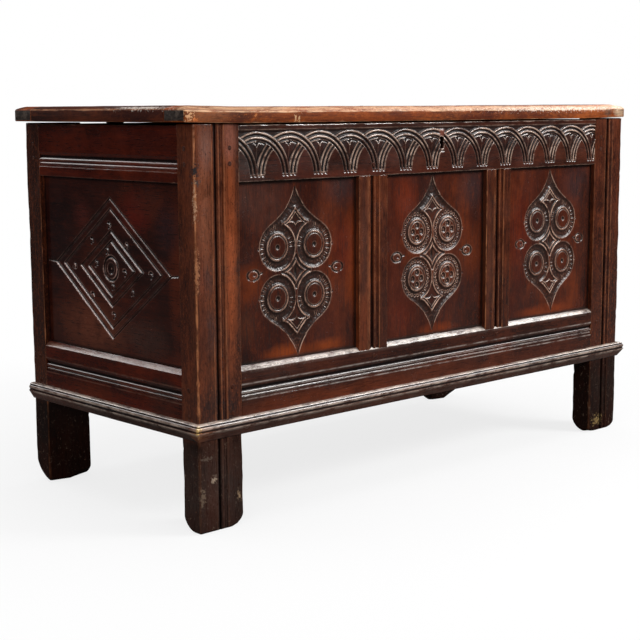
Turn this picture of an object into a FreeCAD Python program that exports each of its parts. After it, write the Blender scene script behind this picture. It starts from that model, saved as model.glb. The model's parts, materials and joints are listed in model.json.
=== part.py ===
import FreeCAD, Part
import os

# Joined oak coffer: four stiles that run down as legs, rails, muntins and panels held by pegged
# mortise-and-tenon joints, a housed board floor, an applied base moulding, a panelled lid on two
# iron butterfly hinges, and a box lock behind the keyhole.
#
# Millimetres. +X is to the right of someone who faces the front, +Y goes to the back, +Z is up.
# The origin is on the floor under the centre of the carcass.
#
# Each of the four upright frames is drawn in its own axes: x along the frame, y inward from the
# outer face of the frame (y = 0), z up from the floor. placed() then turns it to its side.

os.makedirs("parts", exist_ok=True)

# ---------------------------------------------------------------- carcass
carcass_length = 1200.0         # over the stiles, left to right
carcass_depth = 522.0           # over the stiles, front to back
stile_height = 699.0            # floor to the top of a stile
stile_width = 96.0              # of a stile, seen from the front
stile_thickness = 46.0          # of a stile, front to back
rail_thickness = 28.0           # of rails and muntins
rail_shrinkage = 2.5            # top rails have shrunk this far below the tops of the stiles
top_rail_height = 96.5
bottom_rail_height = 116.5
leg_height = 165.0              # floor to the underside of the bottom rails
muntin_width = 74.0
stile_arris_radius = 3.0        # worn outer corner of a stile
foot_radius = 12.0              # worn edge round the foot of a stile
worn_heel_radius = 45.0         # outer corner of the back left foot, which has worn away
fillet_limit = 0.45             # largest share of a block's thinnest side that a fillet takes

# ---------------------------------------------------------------- joinery
panel_setback = 10.0            # outer face of a frame to the face of its panels
panel_thickness = 11.0
panel_bevel = 30.0              # width of the bevel round the back of a panel
panel_entry = 6.0               # how far a panel's edge enters its groove
groove_width = 7.0
groove_depth = 8.0
groove_play = 0.1               # between a panel's edge and each wall of its groove
tenon_thickness = 9.0
tenon_shoulder = 14.0           # between a rail's outer edge and its tenon
front_tenon_length = 56.0       # front and back rails into the stiles
end_tenon_length = 33.0         # end rails into the stiles
muntin_tenon_length = 48.0
joint_play = 0.1                # between a tenon and each wall of its mortise
tenon_end_play = 2.0            # a mortise is this much deeper than its tenon is long
rail_chamfer_height = 8.0       # bevel on the bottom rails' upper outer edge
peg_width = 8.5                 # across the flats of a riven, four-sided peg
peg_length = 26.0
peg_proud = 0.8                 # a peg's head stands out this far
peg_play = 0.05                 # between a peg and each wall of its hole
peg_setback = 20.0              # shoulder of a joint to the centre of its pegs
peg_margin = 24.0               # edge of a rail's tenon to the centre of its pegs

# ---------------------------------------------------------------- channel moulding
channel_groove_width = 4.5
channel_depth = 4.5             # of the groove
channel_slope_width = 6.0       # sunk slope on one side of the groove
channel_slope_depth = 2.4
channel_bead_width = 8.0        # on the groove's other side: a bead, a reed and a fillet
channel_reed_width = 4.4
channel_fillet_width = 4.8
channel_quirk_depth = 2.2       # of the lines between bead, reed and fillet
channel_bead_drop = 0.7         # top of the bead below the surface
channel_reed_drop = 1.1
channel_fillet_drop = 0.6
channel_fillet_slope = 0.4      # width of the slope on each side of the fillet
end_top_channel_drop = 60.0     # top of an end rail to the middle of its groove
bottom_channel_drop = 40.5      # top of a bottom rail to the middle of its groove
channel_shift = 2.2             # the groove runs this far to the left of a stile's or muntin's middle

# ---------------------------------------------------------------- base moulding
base_moulding_bottom = 164.0
base_moulding_height = 31.0
base_moulding_projection = 12.0
base_foot_thickness = 2.0       # of the moulding's lower edge
base_bevel_height = 16.0
base_nose_height = 1.8
base_quirk_height = 1.9
base_quirk_depth = 2.2          # lower quirk, between nose and bead
base_upper_quirk_depth = 3.4    # between bead and cap, behind the face of the bead
base_bead_height = 7.0
base_cap_land = 3.5             # flat top of the moulding, outside the frame
base_cap_fullness = 2 / 3       # how far the cap's round goes towards its upper outer corner
base_nail_spacing = 400.0       # between the nails of the front length
base_end_nail_spacing = 300.0   # between the nails of an end length
base_nail_width = 1.6           # headless nails, driven in the upper quirk
base_nail_length = 22.0

# ---------------------------------------------------------------- floor
floor_height = 180.0            # floor of the room to the underside of the boards
floor_board_count = 4
floor_board_thickness = 12.0
floor_board_gap = 0.6           # shrinkage gap between two boards
floor_housing_depth = 8.0
floor_entry = 7.0               # how far the boards enter the housing
floor_play = 0.2                # above and below a board in its housing
floor_stile_gap = 0.5           # between a board's notch and a stile

# ---------------------------------------------------------------- lid
lid_thickness = 28.0
lid_clearance = 0.4             # tops of the stiles to the underside of the lid
lid_left_overhang = 22.0
lid_right_overhang = 0.5
lid_front_overhang = 6.0
lid_back_inset = 0.4            # back of the carcass to the lid's back edge
lid_rail_width = 58.0           # front and back rails
lid_end_rail_width = 60.0
lid_muntin_width = 60.0
lid_arris_radius = 3.0          # back edge
lid_edge_run = 24.0             # width of the worn slope along the lid's front and ends
lid_front_drop = 9.0            # height of that slope at the front
lid_end_drop = 6.5              # and at the ends
lid_panel_recess = 5.0          # top of the lid's frame to the face of its panels
lid_panel_thickness = 9.0
lid_groove_width = 6.0
lid_tenon_thickness = 7.0
lid_tenon_length = 40.0
lid_peg_length = 20.0
lid_peg_proud = 0.5

# ---------------------------------------------------------------- hinges
hinge_inset = 210.0             # end of the carcass to the middle of a hinge
hinge_leaf_thickness = 2.5
hinge_leaf_length = 46.0        # from the barrel to the wide end of a leaf
hinge_leaf_wide = 62.0          # width of a leaf at its far end
hinge_knuckle_length = 12.0
hinge_knuckle_gap = 0.3
hinge_barrel_radius = 5.0
hinge_pin_radius = 2.6
hinge_pin_play = 0.05
hinge_pin_proud = 1.2           # a pin stands this far out of its barrel
hinge_sweep_clearance = 0.4     # between a leaf and the other leaf's knuckles
hinge_recess_play = 0.1         # round the leaf that is let into the lid
hinge_nail_pitch = 22.0         # between the two rows of nails in a leaf
hinge_nail_margin = 10.0        # far end of a leaf to its outer row of nails
hinge_near_nail_offset = 9.0    # middle of a leaf to the nails near the barrel
hinge_far_nail_offset = 19.0    # middle of a leaf to the nails at its far end

# ---------------------------------------------------------------- nails
nail_head_width = 7.0
nail_head_thickness = 1.2
nail_shank_width = 3.0
nail_length = 14.0
nail_play = 0.05

# ---------------------------------------------------------------- lock
lock_offset = 8.7               # middle of the chest to the keyhole
keyhole_drop = 35.0             # top of the rail to the middle of the keyhole's round part
keyhole_radius = 5.0
keyhole_slot_width = 5.6
keyhole_slot_drop = 13.5        # middle of the round part to the end of the slot
lock_plate_length = 124.0
lock_plate_height = 76.0
lock_plate_thickness = 2.5
lock_case_length = 86.0
lock_case_height = 60.0
lock_case_depth = 22.0
lock_case_wall = 1.6
lock_plate_drop = 8.0           # top of the rail to the top of the plate
lock_case_drop = 4.0            # top of the plate to the top of the case
lock_nail_inset = 9.0           # edge of the plate to the middle of a nail
bolt_length = 66.0
bolt_height = 8.0
bolt_thickness = 5.6
bolt_drop = 14.0                # top of the case to the middle of the bolt
bolt_throw = 12.0               # travel that locks the lid
bolt_staple_gap = 2.5           # tip of the withdrawn bolt to the staple
bolt_play = 0.3                 # between the bolt and its guides
bolt_talon_length = 8.0         # notch that the key turns in
bolt_talon_depth = 3.0
bolt_guide_width = 5.0
bolt_guide_wall = 2.0
bolt_guide_inset = 4.0          # end of the bolt to its guide
spring_thickness = 1.0
spring_width = 4.0
spring_foot_length = 6.0
key_pin_radius = 2.0
key_pin_gap = 1.0               # end of the pin to the back plate
staple_offset = 32.0            # keyhole to the middle of the staple
staple_width = 6.0              # along the bolt
staple_eye_height = 11.0
staple_wall = 4.0
staple_slot_play = 1.2          # round the staple in the top of the case
staple_plate_length = 46.0
staple_plate_thickness = 2.5

# ---------------------------------------------------------------- places worked out from the sizes
half_length = carcass_length / 2
half_depth = carcass_depth / 2
frame_top = stile_height - rail_shrinkage
opening_top = frame_top - top_rail_height
opening_bottom = leg_height + bottom_rail_height
front_span = carcass_length - 2 * stile_width        # between the shoulders of a front rail
end_span = carcass_depth - 2 * stile_thickness       # between the shoulders of an end rail
front_opening = (front_span - 2 * muntin_width) / 3
muntin_offset = (front_opening + muntin_width) / 2   # middle of the chest to a muntin
top_tenon = (opening_top + groove_depth, frame_top - tenon_shoulder)
bottom_tenon = (leg_height + tenon_shoulder, opening_bottom - groove_depth)
base_moulding_top = base_moulding_bottom + base_moulding_height
base_upper_quirk = base_moulding_projection - base_upper_quirk_depth
stile_mid = half_length - stile_width / 2

lid_bottom = stile_height + lid_clearance
lid_top = lid_bottom + lid_thickness
lid_left = -half_length - lid_left_overhang
lid_right = half_length + lid_right_overhang
lid_front = -half_depth - lid_front_overhang
lid_back = half_depth - lid_back_inset
lid_panel_face = lid_top - lid_panel_recess

hinge_offset = half_length - hinge_inset             # middle of the chest to a hinge
hinge_axis_y = half_depth + hinge_barrel_radius
hinge_axis_z = lid_bottom + hinge_leaf_thickness / 2
hinge_barrel_length = 3 * hinge_knuckle_length + 2 * hinge_knuckle_gap

rail_inner_y = -half_depth + rail_thickness          # inner face of the front rails
keyhole_height = frame_top - keyhole_drop
lock_plate_top = frame_top - lock_plate_drop
lock_plate_back_y = rail_inner_y + lock_plate_thickness
case_top = lock_plate_top - lock_case_drop
case_back_y = lock_plate_back_y + lock_case_depth
bolt_z = case_top - bolt_drop
bolt_y = (lock_plate_back_y + case_back_y - lock_case_wall) / 2
staple_depth = bolt_thickness + 2 * bolt_play + 2 * staple_wall
staple_x = lock_offset + staple_offset
bolt_tip_x = staple_x - staple_width / 2 - bolt_staple_gap


def vec(x, y, z):
    return FreeCAD.Vector(x, y, z)


def box(x0, x1, y0, y1, z0, z1):
    """A block between two values on each axis, given in either order."""
    corner = vec(min(x0, x1), min(y0, y1), min(z0, z1))
    return Part.makeBox(abs(x1 - x0), abs(y1 - y0), abs(z1 - z0), corner)


def prism(points, direction):
    """A straight extrusion of a closed outline of straight edges."""
    outline = Part.makePolygon(points + [points[0]])
    return Part.Face(outline).extrude(direction)


def joined(shapes):
    """One solid from shapes that touch or overlap."""
    first, *rest = shapes
    return first.fuse(rest).removeSplitter() if rest else first


def cut_all(shape, cutters):
    """The shape with every cutter taken out of it."""
    return shape.cut(list(cutters)) if cutters else shape


def placed(shape, side):
    """A copy of a frame's piece, turned and moved to its side of the chest."""
    turns = {"front": 0, "right": 90, "back": 180, "left": -90}
    offsets = {
        "front": vec(0, -half_depth, 0),
        "right": vec(half_length, 0, 0),
        "back": vec(0, half_depth, 0),
        "left": vec(-half_length, 0, 0),
    }
    result = shape.copy()
    result.rotate(vec(0, 0, 0), vec(0, 0, 1), turns[side])
    result.translate(offsets[side])
    return result


def rounded_block(block, edges, radius):
    """The block with the chosen edges rounded, by less than half of its thinnest side."""
    bounds = block.BoundBox
    limit = fillet_limit * min(bounds.XLength, bounds.YLength, bounds.ZLength)
    return block.makeFillet(min(radius, limit), edges)


def edges_where(shape, test):
    """The edges whose two ends both pass the test."""
    return [edge for edge in shape.Edges if all(test(v.Point) for v in edge.Vertexes)]


# ---------------------------------------------------------------- pegs and nails
def peg_block(x, z, y0, y1, play):
    """A square peg along y, or with play its hole."""
    half = peg_width / 2 + play
    return box(x - half, x + half, y0, y1, z - half, z + half)


def pegs_at(places):
    """Pegs driven inward from a frame's face, one solid each."""
    return [peg_block(x, z, -peg_proud, peg_length, 0) for x, z in places]


def peg_holes(places):
    return [peg_block(x, z, -peg_proud, peg_length + peg_play, peg_play) for x, z in places]


def nail(play):
    """A square nail along +z, with the top of its flat head at z = 0; play makes it a hole."""
    head = nail_head_width / 2 + play
    shank = nail_shank_width / 2 + play
    return joined([
        box(-head, head, -head, head, 0, nail_head_thickness + play),
        box(-shank, shank, -shank, shank, 0, nail_length + play),
    ])


def nail_along(point, direction, play=0.0):
    """A nail with its head at a point, driven along a direction."""
    result = nail(play)
    result.Placement = FreeCAD.Placement(point, FreeCAD.Rotation(vec(0, 0, 1), direction))
    return result


# ---------------------------------------------------------------- channel moulding
def channel_cutter(length):
    """The scratch-moulded channel along z from z = 0, with the middle of its groove at x = 0.

    Across it, from -x: a sunk slope, the groove, a bead, a reed and a fillet.
    """
    groove = channel_groove_width / 2
    slope_start = -groove - channel_slope_width
    bead_end = groove + channel_bead_width
    reed_end = bead_end + channel_reed_width
    fillet_end = reed_end + channel_fillet_width
    fillet_from, fillet_to = reed_end + channel_fillet_slope, fillet_end - channel_fillet_slope
    quirk = channel_quirk_depth
    above = -channel_bead_drop

    def run(*corners):
        points = [vec(u, depth, 0) for u, depth in corners]
        return [Part.makeLine(a, b) for a, b in zip(points, points[1:])]

    def rounded(start, end, top):
        ends = vec(start, quirk, 0), vec(end, quirk, 0)
        return Part.Arc(ends[0], vec((start + end) / 2, top, 0), ends[1]).toShape()

    edges = run(
        (slope_start, above), (slope_start, 0), (-groove, channel_slope_depth), (-groove, channel_depth),
        (groove, channel_depth), (groove, quirk),
    )
    edges.append(rounded(groove, bead_end, channel_bead_drop))
    edges.append(rounded(bead_end, reed_end, channel_reed_drop))
    edges += run(
        (reed_end, quirk), (fillet_from, channel_fillet_drop), (fillet_to, channel_fillet_drop),
        (fillet_end, 0), (fillet_end, above), (slope_start, above),
    )
    return Part.Face(Part.Wire(edges)).extrude(vec(0, 0, length))


def upright_channel(x, z0, z1):
    """The channel cut down a stile or muntin that has its middle at x on its frame's face."""
    cutter = channel_cutter(z1 - z0)
    cutter.translate(vec(x - channel_shift, 0, z0))
    return cutter


def level_channel(span, z):
    """The channel cut along a rail, its groove at a height on its frame's face, its bead below."""
    cutter = channel_cutter(span)
    cutter.rotate(vec(0, 0, 0), vec(0, 1, 0), 90)
    cutter.translate(vec(-span / 2, 0, z))
    return cutter


# ---------------------------------------------------------------- frames
def tenon_pair(span, length, heights, play):
    """The tenons at both ends of a rail, or with play the mortises that they fill."""
    low, high = heights
    reach = span / 2 + length + (tenon_end_play if play else 0)
    y0 = panel_setback - play
    y1 = panel_setback + tenon_thickness + play
    return [box(side * span / 2, side * reach, y0, y1, low - play, high + play) for side in (-1, 1)]


def muntin_tenon(x, play):
    """The two tenons of a muntin, or with play the mortises in the rails."""
    half = muntin_width / 2 - groove_depth + play
    length = muntin_tenon_length + (tenon_end_play if play else 0)
    y0 = panel_setback - play
    y1 = panel_setback + tenon_thickness + play
    return [
        box(x - half, x + half, y0, y1, opening_top, opening_top + length),
        box(x - half, x + half, y0, y1, opening_bottom - length, opening_bottom),
    ]


def rail_peg_places(span, heights):
    low, high = heights
    places = []
    for x in (-span / 2 - peg_setback, span / 2 + peg_setback):
        places.append((x, low + peg_margin))
        places.append((x, high - peg_margin))
    return places


def muntin_peg_places(x):
    return [(x, opening_top + peg_setback), (x, opening_bottom - peg_setback)]


def frame_muntins(side):
    return (-muntin_offset, muntin_offset) if side in ("front", "back") else ()


def frame_span(side):
    return front_span if side in ("front", "back") else end_span


def frame_tenon_length(side):
    return front_tenon_length if side in ("front", "back") else end_tenon_length


def frame_peg_places(side):
    """Where every peg of one frame goes, on its outer face."""
    span = frame_span(side)
    places = rail_peg_places(span, top_tenon) + rail_peg_places(span, bottom_tenon)
    for x in frame_muntins(side):
        places += muntin_peg_places(x)
    return places


def groove_in_edge(span, z0, z1):
    return box(-span / 2, span / 2, panel_setback, panel_setback + groove_width, z0, z1)


def top_rail(side):
    span = frame_span(side)
    body = box(-span / 2, span / 2, 0, rail_thickness, opening_top, frame_top)
    blank = joined([body] + tenon_pair(span, frame_tenon_length(side), top_tenon, 0))
    cutters = [groove_in_edge(span, opening_top, opening_top + groove_depth)]
    for x in frame_muntins(side):
        cutters += muntin_tenon(x, joint_play)
    if side in ("left", "right"):
        cutters.append(level_channel(span, frame_top - end_top_channel_drop))
    return cut_all(blank, cutters + peg_holes(frame_peg_places(side)))


def floor_housing(span):
    """The groove along the inside of a bottom rail that holds the floor boards."""
    z0 = floor_height - floor_play
    z1 = floor_height + floor_board_thickness + floor_play
    return box(-span / 2, span / 2, rail_thickness - floor_housing_depth, rail_thickness, z0, z1)


def chamfer_wedge(x0, x1):
    """The corner that the bevel takes off a bottom rail's upper outer edge."""
    outline = [
        vec(x0, 0, opening_bottom - rail_chamfer_height),
        vec(x0, panel_setback, opening_bottom),
        vec(x0, 0, opening_bottom),
    ]
    return prism(outline, vec(x1 - x0, 0, 0))


def bottom_rail(side):
    span = frame_span(side)
    body = box(-span / 2, span / 2, 0, rail_thickness, leg_height, opening_bottom)
    blank = joined([body] + tenon_pair(span, frame_tenon_length(side), bottom_tenon, 0))
    cutters = [
        groove_in_edge(span, opening_bottom - groove_depth, opening_bottom),
        floor_housing(span),
    ]
    for x in frame_muntins(side):
        cutters += muntin_tenon(x, joint_play)
    if side != "back":
        cutters.append(chamfer_wedge(-span / 2, span / 2))
        cutters.append(level_channel(span, opening_bottom - bottom_channel_drop))
        cutters += base_nails(side, nail_play)
    return cut_all(blank, cutters + peg_holes(frame_peg_places(side)))


def muntin(side, x):
    """A muntin; on the front its foot is scribed over the bottom rail's bevel."""
    half = muntin_width / 2
    parts = [box(x - half, x + half, 0, rail_thickness, opening_bottom, opening_top)]
    parts += muntin_tenon(x, 0)
    foot = opening_bottom
    if side == "front":
        parts.append(chamfer_wedge(x - half, x + half))
        foot = opening_bottom - rail_chamfer_height
    y0, y1 = panel_setback, panel_setback + groove_width
    cutters = [
        box(x + edge * half, x + edge * (half - groove_depth), y0, y1, opening_bottom, opening_top)
        for edge in (-1, 1)
    ]
    if side == "front":
        cutters.append(upright_channel(x, foot, opening_top))
    return cut_all(joined(parts), cutters + peg_holes(muntin_peg_places(x)))


def fielded_panel(width, height, thickness, edge_thickness):
    """A riven panel centred on the origin: flat face at y = 0, back bevelled to thin edges."""
    face_board = box(-width / 2, width / 2, 0, edge_thickness, -height / 2, height / 2)
    x, z = width / 2 - panel_entry, height / 2 - panel_entry
    field_x, field_z = x - panel_bevel, z - panel_bevel
    field = Part.makeWedge(
        -x, edge_thickness, -z, -field_z, -field_x, x, thickness, z, field_z, field_x
    )
    return joined([face_board, field])


def frame_panel(x, opening):
    width = opening + 2 * panel_entry
    height = opening_top - opening_bottom + 2 * panel_entry
    edge = groove_width - 2 * groove_play
    panel = fielded_panel(width, height, panel_thickness, edge)
    panel.translate(vec(x, panel_setback + groove_play, (opening_top + opening_bottom) / 2))
    return panel


def stile_grooves(span):
    """Grooves in the stiles at both sides of a frame, for the edges of its outer panels."""
    z0 = opening_bottom - groove_depth
    z1 = opening_top + groove_depth
    y0, y1 = panel_setback, panel_setback + groove_width
    return [box(s * span / 2, s * (span / 2 + groove_depth), y0, y1, z0, z1) for s in (-1, 1)]


def frame_cutters(side):
    """Everything that one frame cuts out of its two stiles: mortises, grooves and peg holes."""
    span = frame_span(side)
    length = frame_tenon_length(side)
    cutters = tenon_pair(span, length, top_tenon, joint_play)
    cutters += tenon_pair(span, length, bottom_tenon, joint_play)
    cutters += stile_grooves(span)
    cutters += peg_holes(rail_peg_places(span, top_tenon) + rail_peg_places(span, bottom_tenon))
    return [placed(cutter, side) for cutter in cutters]


def worn_heel():
    """What has worn off the outer corner of the back left foot, across its diagonal."""
    radius, reach = worn_heel_radius, stile_width
    corner = box(-reach, reach, -radius, 0, 0, radius)
    heel = corner.cut(Part.makeCylinder(radius, 2 * reach, vec(-reach, -radius, radius), vec(1, 0, 0)))
    heel.rotate(vec(0, 0, 0), vec(0, 0, 1), 45)
    heel.translate(vec(-half_length, half_depth, 0))
    return heel


def stile(front, left):
    """A corner upright, which runs down as a leg."""
    side_x = -1 if left else 1
    side_y = -1 if front else 1
    outer_x, inner_x = side_x * half_length, side_x * (half_length - stile_width)
    outer_y, inner_y = side_y * half_depth, side_y * (half_depth - stile_thickness)
    blank = box(outer_x, inner_x, outer_y, inner_y, 0, stile_height)
    at_outer_corner = edges_where(blank, lambda p: abs(p.x - outer_x) + abs(p.y - outer_y) < 0.01)
    blank = rounded_block(blank, at_outer_corner, stile_arris_radius)
    blank = rounded_block(blank, edges_where(blank, lambda p: p.z < 0.01), foot_radius)
    cutters = frame_cutters("front" if front else "back") + frame_cutters("left" if left else "right")
    if front:
        cutters.append(placed(upright_channel(side_x * stile_mid, 0, stile_height), "front"))
    elif left:
        cutters.append(worn_heel())
    return cut_all(blank, cutters)


# ---------------------------------------------------------------- base moulding
def moulding_heights():
    """Heights in the moulding above its foot: both edges of the bead, and the foot of its cap."""
    bead = base_bevel_height + base_nose_height + base_quirk_height
    bead_top = bead + base_bead_height
    return bead, bead_top, bead_top + base_quirk_height


def moulding_section():
    """Section of the base moulding: x is how far it stands out, y is the height above its foot.

    From below: a bevel, a narrow nose, a quirk, a bead, a second quirk and a rounded cap.
    """
    reach = base_moulding_projection
    lower_quirk = reach - base_quirk_depth
    bead, bead_top, cap = moulding_heights()
    top = base_moulding_height
    nose_top = base_bevel_height + base_nose_height
    cap_mid = base_cap_land + base_cap_fullness * (lower_quirk - base_cap_land)

    def point(x, y):
        return vec(x, y, 0)

    def run(*corners):
        return [Part.makeLine(a, b) for a, b in zip(corners, corners[1:])]

    lower = [point(0, 0), point(base_foot_thickness, 0), point(reach, base_bevel_height)]
    lower += [point(reach, nose_top), point(lower_quirk, nose_top), point(lower_quirk, bead)]
    upper = [point(lower_quirk, bead_top), point(base_upper_quirk, bead_top)]
    upper += [point(base_upper_quirk, cap), point(lower_quirk, cap)]
    bead_nose = point(reach, (bead + bead_top) / 2)
    cap_nose = point(cap_mid, cap + base_cap_fullness * (top - cap))
    edges = run(*lower)
    edges.append(Part.Arc(lower[-1], bead_nose, upper[0]).toShape())
    edges += run(*upper)
    edges.append(Part.Arc(upper[-1], cap_nose, point(base_cap_land, top)).toShape())
    edges += run(point(base_cap_land, top), point(0, top), point(0, 0))
    return Part.Face(Part.Wire(edges))


def moulding_length(x0, x1):
    """The moulding along a frame's face, from x0 to x1, before its mitres are cut."""
    section = moulding_section()
    section.rotate(vec(0, 0, 0), vec(1, 0, 0), 90)
    section.rotate(vec(0, 0, 0), vec(0, 0, 1), -90)
    section.translate(vec(x0, 0, base_moulding_bottom))
    return section.extrude(vec(x1 - x0, 0, 0))


def mitre_block(x0, x1, left_mitre, right_mitre):
    """What is kept of a moulding: its ends go straight back, or with a mitre of 1 out at 45 degrees."""
    out = 2 * base_moulding_projection      # well past the moulding's face
    outline = [
        vec(x0, 0, 0),
        vec(x1, 0, 0),
        vec(x1 + right_mitre * out, -out, 0),
        vec(x0 - left_mitre * out, -out, 0),
    ]
    return prism(outline, vec(0, 0, stile_height))


def base_nail_places(side):
    if side == "front":
        return [-base_nail_spacing, 0.0, base_nail_spacing]
    return [-base_end_nail_spacing / 2, base_end_nail_spacing / 2]


def base_nails(side, play):
    """Headless nails in the moulding's upper quirk, driven inward; play makes their holes."""
    _, bead_top, cap = moulding_heights()
    z = base_moulding_bottom + (bead_top + cap) / 2
    half = base_nail_width / 2 + play
    y0 = -base_upper_quirk
    y1 = y0 + base_nail_length + play
    return [box(x - half, x + half, y0, y1, z - half, z + half) for x in base_nail_places(side)]


def base_moulding(side):
    """One length of the moulding, mitred at the front corners and cut square at the back."""
    half = half_length if side == "front" else half_depth
    left_mitre = 0 if side == "left" else 1
    right_mitre = 0 if side == "right" else 1
    reach = base_moulding_projection
    run = moulding_length(-half - left_mitre * reach, half + right_mitre * reach)
    run = run.common(mitre_block(-half, half, left_mitre, right_mitre))
    return cut_all(run, base_nails(side, nail_play))


# ---------------------------------------------------------------- floor
def floor_boards():
    """Boards side by side, housed in the four bottom rails and notched round the stiles."""
    reach_x = half_length - rail_thickness + floor_entry
    reach_y = half_depth - rail_thickness + floor_entry
    stile_x = front_span / 2 - floor_stile_gap
    stile_y = end_span / 2 - floor_stile_gap
    z0, z1 = floor_height, floor_height + floor_board_thickness
    middle = box(-stile_x, stile_x, -reach_y, reach_y, z0, z1)
    between_stiles = box(-reach_x, reach_x, -stile_y, stile_y, z0, z1)
    whole = joined([middle, between_stiles])
    pitch = 2 * reach_x / floor_board_count
    boards = []
    for i in range(floor_board_count):
        x0 = -reach_x + i * pitch + floor_board_gap / 2
        x1 = -reach_x + (i + 1) * pitch - floor_board_gap / 2
        boards.append(whole.common(box(x0, x1, -reach_y, reach_y, z0, z1)))
    return boards


# ---------------------------------------------------------------- lid
def lid_bar_edges():
    """Left and right edges of the lid's four cross pieces: end rail, two muntins, end rail."""
    half = lid_muntin_width / 2
    return [
        (lid_left, lid_left + lid_end_rail_width),
        (-muntin_offset - half, -muntin_offset + half),
        (muntin_offset - half, muntin_offset + half),
        (lid_right - lid_end_rail_width, lid_right),
    ]


def lid_slopes():
    """What is worn off the lid's top along its front and both ends."""
    length, depth, top = lid_right - lid_left, lid_back - lid_front, lid_top
    front = [
        vec(lid_left, lid_front, top - lid_front_drop),
        vec(lid_left, lid_front + lid_edge_run, top),
        vec(lid_left, lid_front, top),
    ]
    slopes = [prism(front, vec(length, 0, 0))]
    for x, inward in ((lid_left, 1), (lid_right, -1)):
        end = [
            vec(x, lid_front, top - lid_end_drop),
            vec(x + inward * lid_edge_run, lid_front, top),
            vec(x, lid_front, top),
        ]
        slopes.append(prism(end, vec(0, depth, 0)))
    return slopes


def lid_tenon_z(play):
    return lid_panel_face - lid_tenon_thickness - play, lid_panel_face + play


def lid_tenon_edges(x0, x1):
    """Left and right edges of a cross piece's tenons, clear of the grooves and the lid's ends."""
    left = x0 + (tenon_shoulder if x0 == lid_left else groove_depth)
    right = x1 - (tenon_shoulder if x1 == lid_right else groove_depth)
    return left, right


def lid_tenons(x0, x1, play):
    left, right = lid_tenon_edges(x0, x1)
    z0, z1 = lid_tenon_z(play)
    length = lid_tenon_length + (tenon_end_play if play else 0)
    front = lid_front + lid_rail_width
    back = lid_back - lid_rail_width
    return [
        box(left - play, right + play, front - length, front, z0, z1),
        box(left - play, right + play, back, back + length, z0, z1),
    ]


def lid_peg(x, y, play):
    """A peg from the lid's top down, or its hole."""
    peg = peg_block(0, 0, -lid_peg_proud, lid_peg_length + play, play)
    peg.rotate(vec(0, 0, 0), vec(1, 0, 0), -90)
    peg.translate(vec(x, y, lid_top))
    return peg


def lid_pegs(play):
    """One peg for each joint of the lid's frame."""
    front = lid_front + lid_rail_width - peg_setback
    back = lid_back - lid_rail_width + peg_setback
    pegs = []
    for x0, x1 in lid_bar_edges():
        left, right = lid_tenon_edges(x0, x1)
        pegs += [lid_peg((left + right) / 2, y, play) for y in (front, back)]
    return pegs


def lid_long_rail(at_front):
    """The lid's front or back rail, which runs the whole length of the lid."""
    outer, side = (lid_front, 1) if at_front else (lid_back, -1)
    inner = outer + side * lid_rail_width
    blank = box(lid_left, lid_right, outer, inner, lid_bottom, lid_top)
    if not at_front:
        arris = edges_where(blank, lambda p: abs(p.z - lid_top) + abs(p.y - outer) < 0.01)
        blank = rounded_block(blank, arris, lid_arris_radius)
    z0, z1 = lid_panel_face - lid_groove_width, lid_panel_face
    groove_left = lid_left + lid_end_rail_width - groove_depth
    groove_right = lid_right - lid_end_rail_width + groove_depth
    cutters = lid_slopes() + [box(groove_left, groove_right, inner - side * groove_depth, inner, z0, z1)]
    for x0, x1 in lid_bar_edges():
        cutters += lid_tenons(x0, x1, joint_play)
    cutters += lid_pegs(peg_play)
    if not at_front:
        cutters += lid_leaf_recesses()
    else:
        cutters += [nail_along(point, vec(0, 0, 1), nail_play) for point in staple_nail_points()]
    return cut_all(blank, cutters)


def lid_cross_piece(x0, x1):
    """An end rail or a muntin of the lid, tenoned into its front and back rails."""
    y0, y1 = lid_front + lid_rail_width, lid_back - lid_rail_width
    blank = joined([box(x0, x1, y0, y1, lid_bottom, lid_top)] + lid_tenons(x0, x1, 0))
    z0, z1 = lid_panel_face - lid_groove_width, lid_panel_face
    cutters = lid_slopes() + lid_pegs(peg_play)
    if x0 != lid_left:
        cutters.append(box(x0, x0 + groove_depth, y0, y1, z0, z1))
    if x1 != lid_right:
        cutters.append(box(x1 - groove_depth, x1, y0, y1, z0, z1))
    return cut_all(blank, cutters)


def lid_panels():
    """The three panels between the lid's cross pieces, bevelled below."""
    y0, y1 = lid_front + lid_rail_width, lid_back - lid_rail_width
    bars = lid_bar_edges()
    panels = []
    for (_, x0), (x1, _) in zip(bars, bars[1:]):
        width = x1 - x0 + 2 * panel_entry
        height = y1 - y0 + 2 * panel_entry
        edge = lid_groove_width - 2 * groove_play
        panel = fielded_panel(width, height, lid_panel_thickness, edge)
        panel.rotate(vec(0, 0, 0), vec(1, 0, 0), -90)
        panel.translate(vec((x0 + x1) / 2, (y0 + y1) / 2, lid_panel_face - groove_play))
        panels.append(panel)
    return panels


# ---------------------------------------------------------------- hinges
def leaf_outline(play):
    """A butterfly leaf, flat in xy: narrow at y = 0, wide at its far end."""
    narrow = hinge_barrel_length / 2 + play
    wide = hinge_leaf_wide / 2 + play
    return [
        vec(-narrow, 0, 0),
        vec(narrow, 0, 0),
        vec(wide, hinge_leaf_length + play, 0),
        vec(-wide, hinge_leaf_length + play, 0),
    ]


def leaf_nail_points():
    """Nails of one leaf, flat in xy: two rows that follow the leaf's taper."""
    far = hinge_leaf_length - hinge_nail_margin
    rows = ((hinge_near_nail_offset, far - hinge_nail_pitch), (hinge_far_nail_offset, far))
    return [(side * offset, reach) for offset, reach in rows for side in (-1, 1)]


def knuckle(index):
    """One of the three knuckles of a barrel, along x, with its bore."""
    pitch = hinge_knuckle_length + hinge_knuckle_gap
    x0 = -hinge_barrel_length / 2 + index * pitch
    start, along = vec(x0, 0, 0), vec(1, 0, 0)
    body = Part.makeCylinder(hinge_barrel_radius, hinge_knuckle_length, start, along)
    return body, x0, x0 + hinge_knuckle_length


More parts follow.
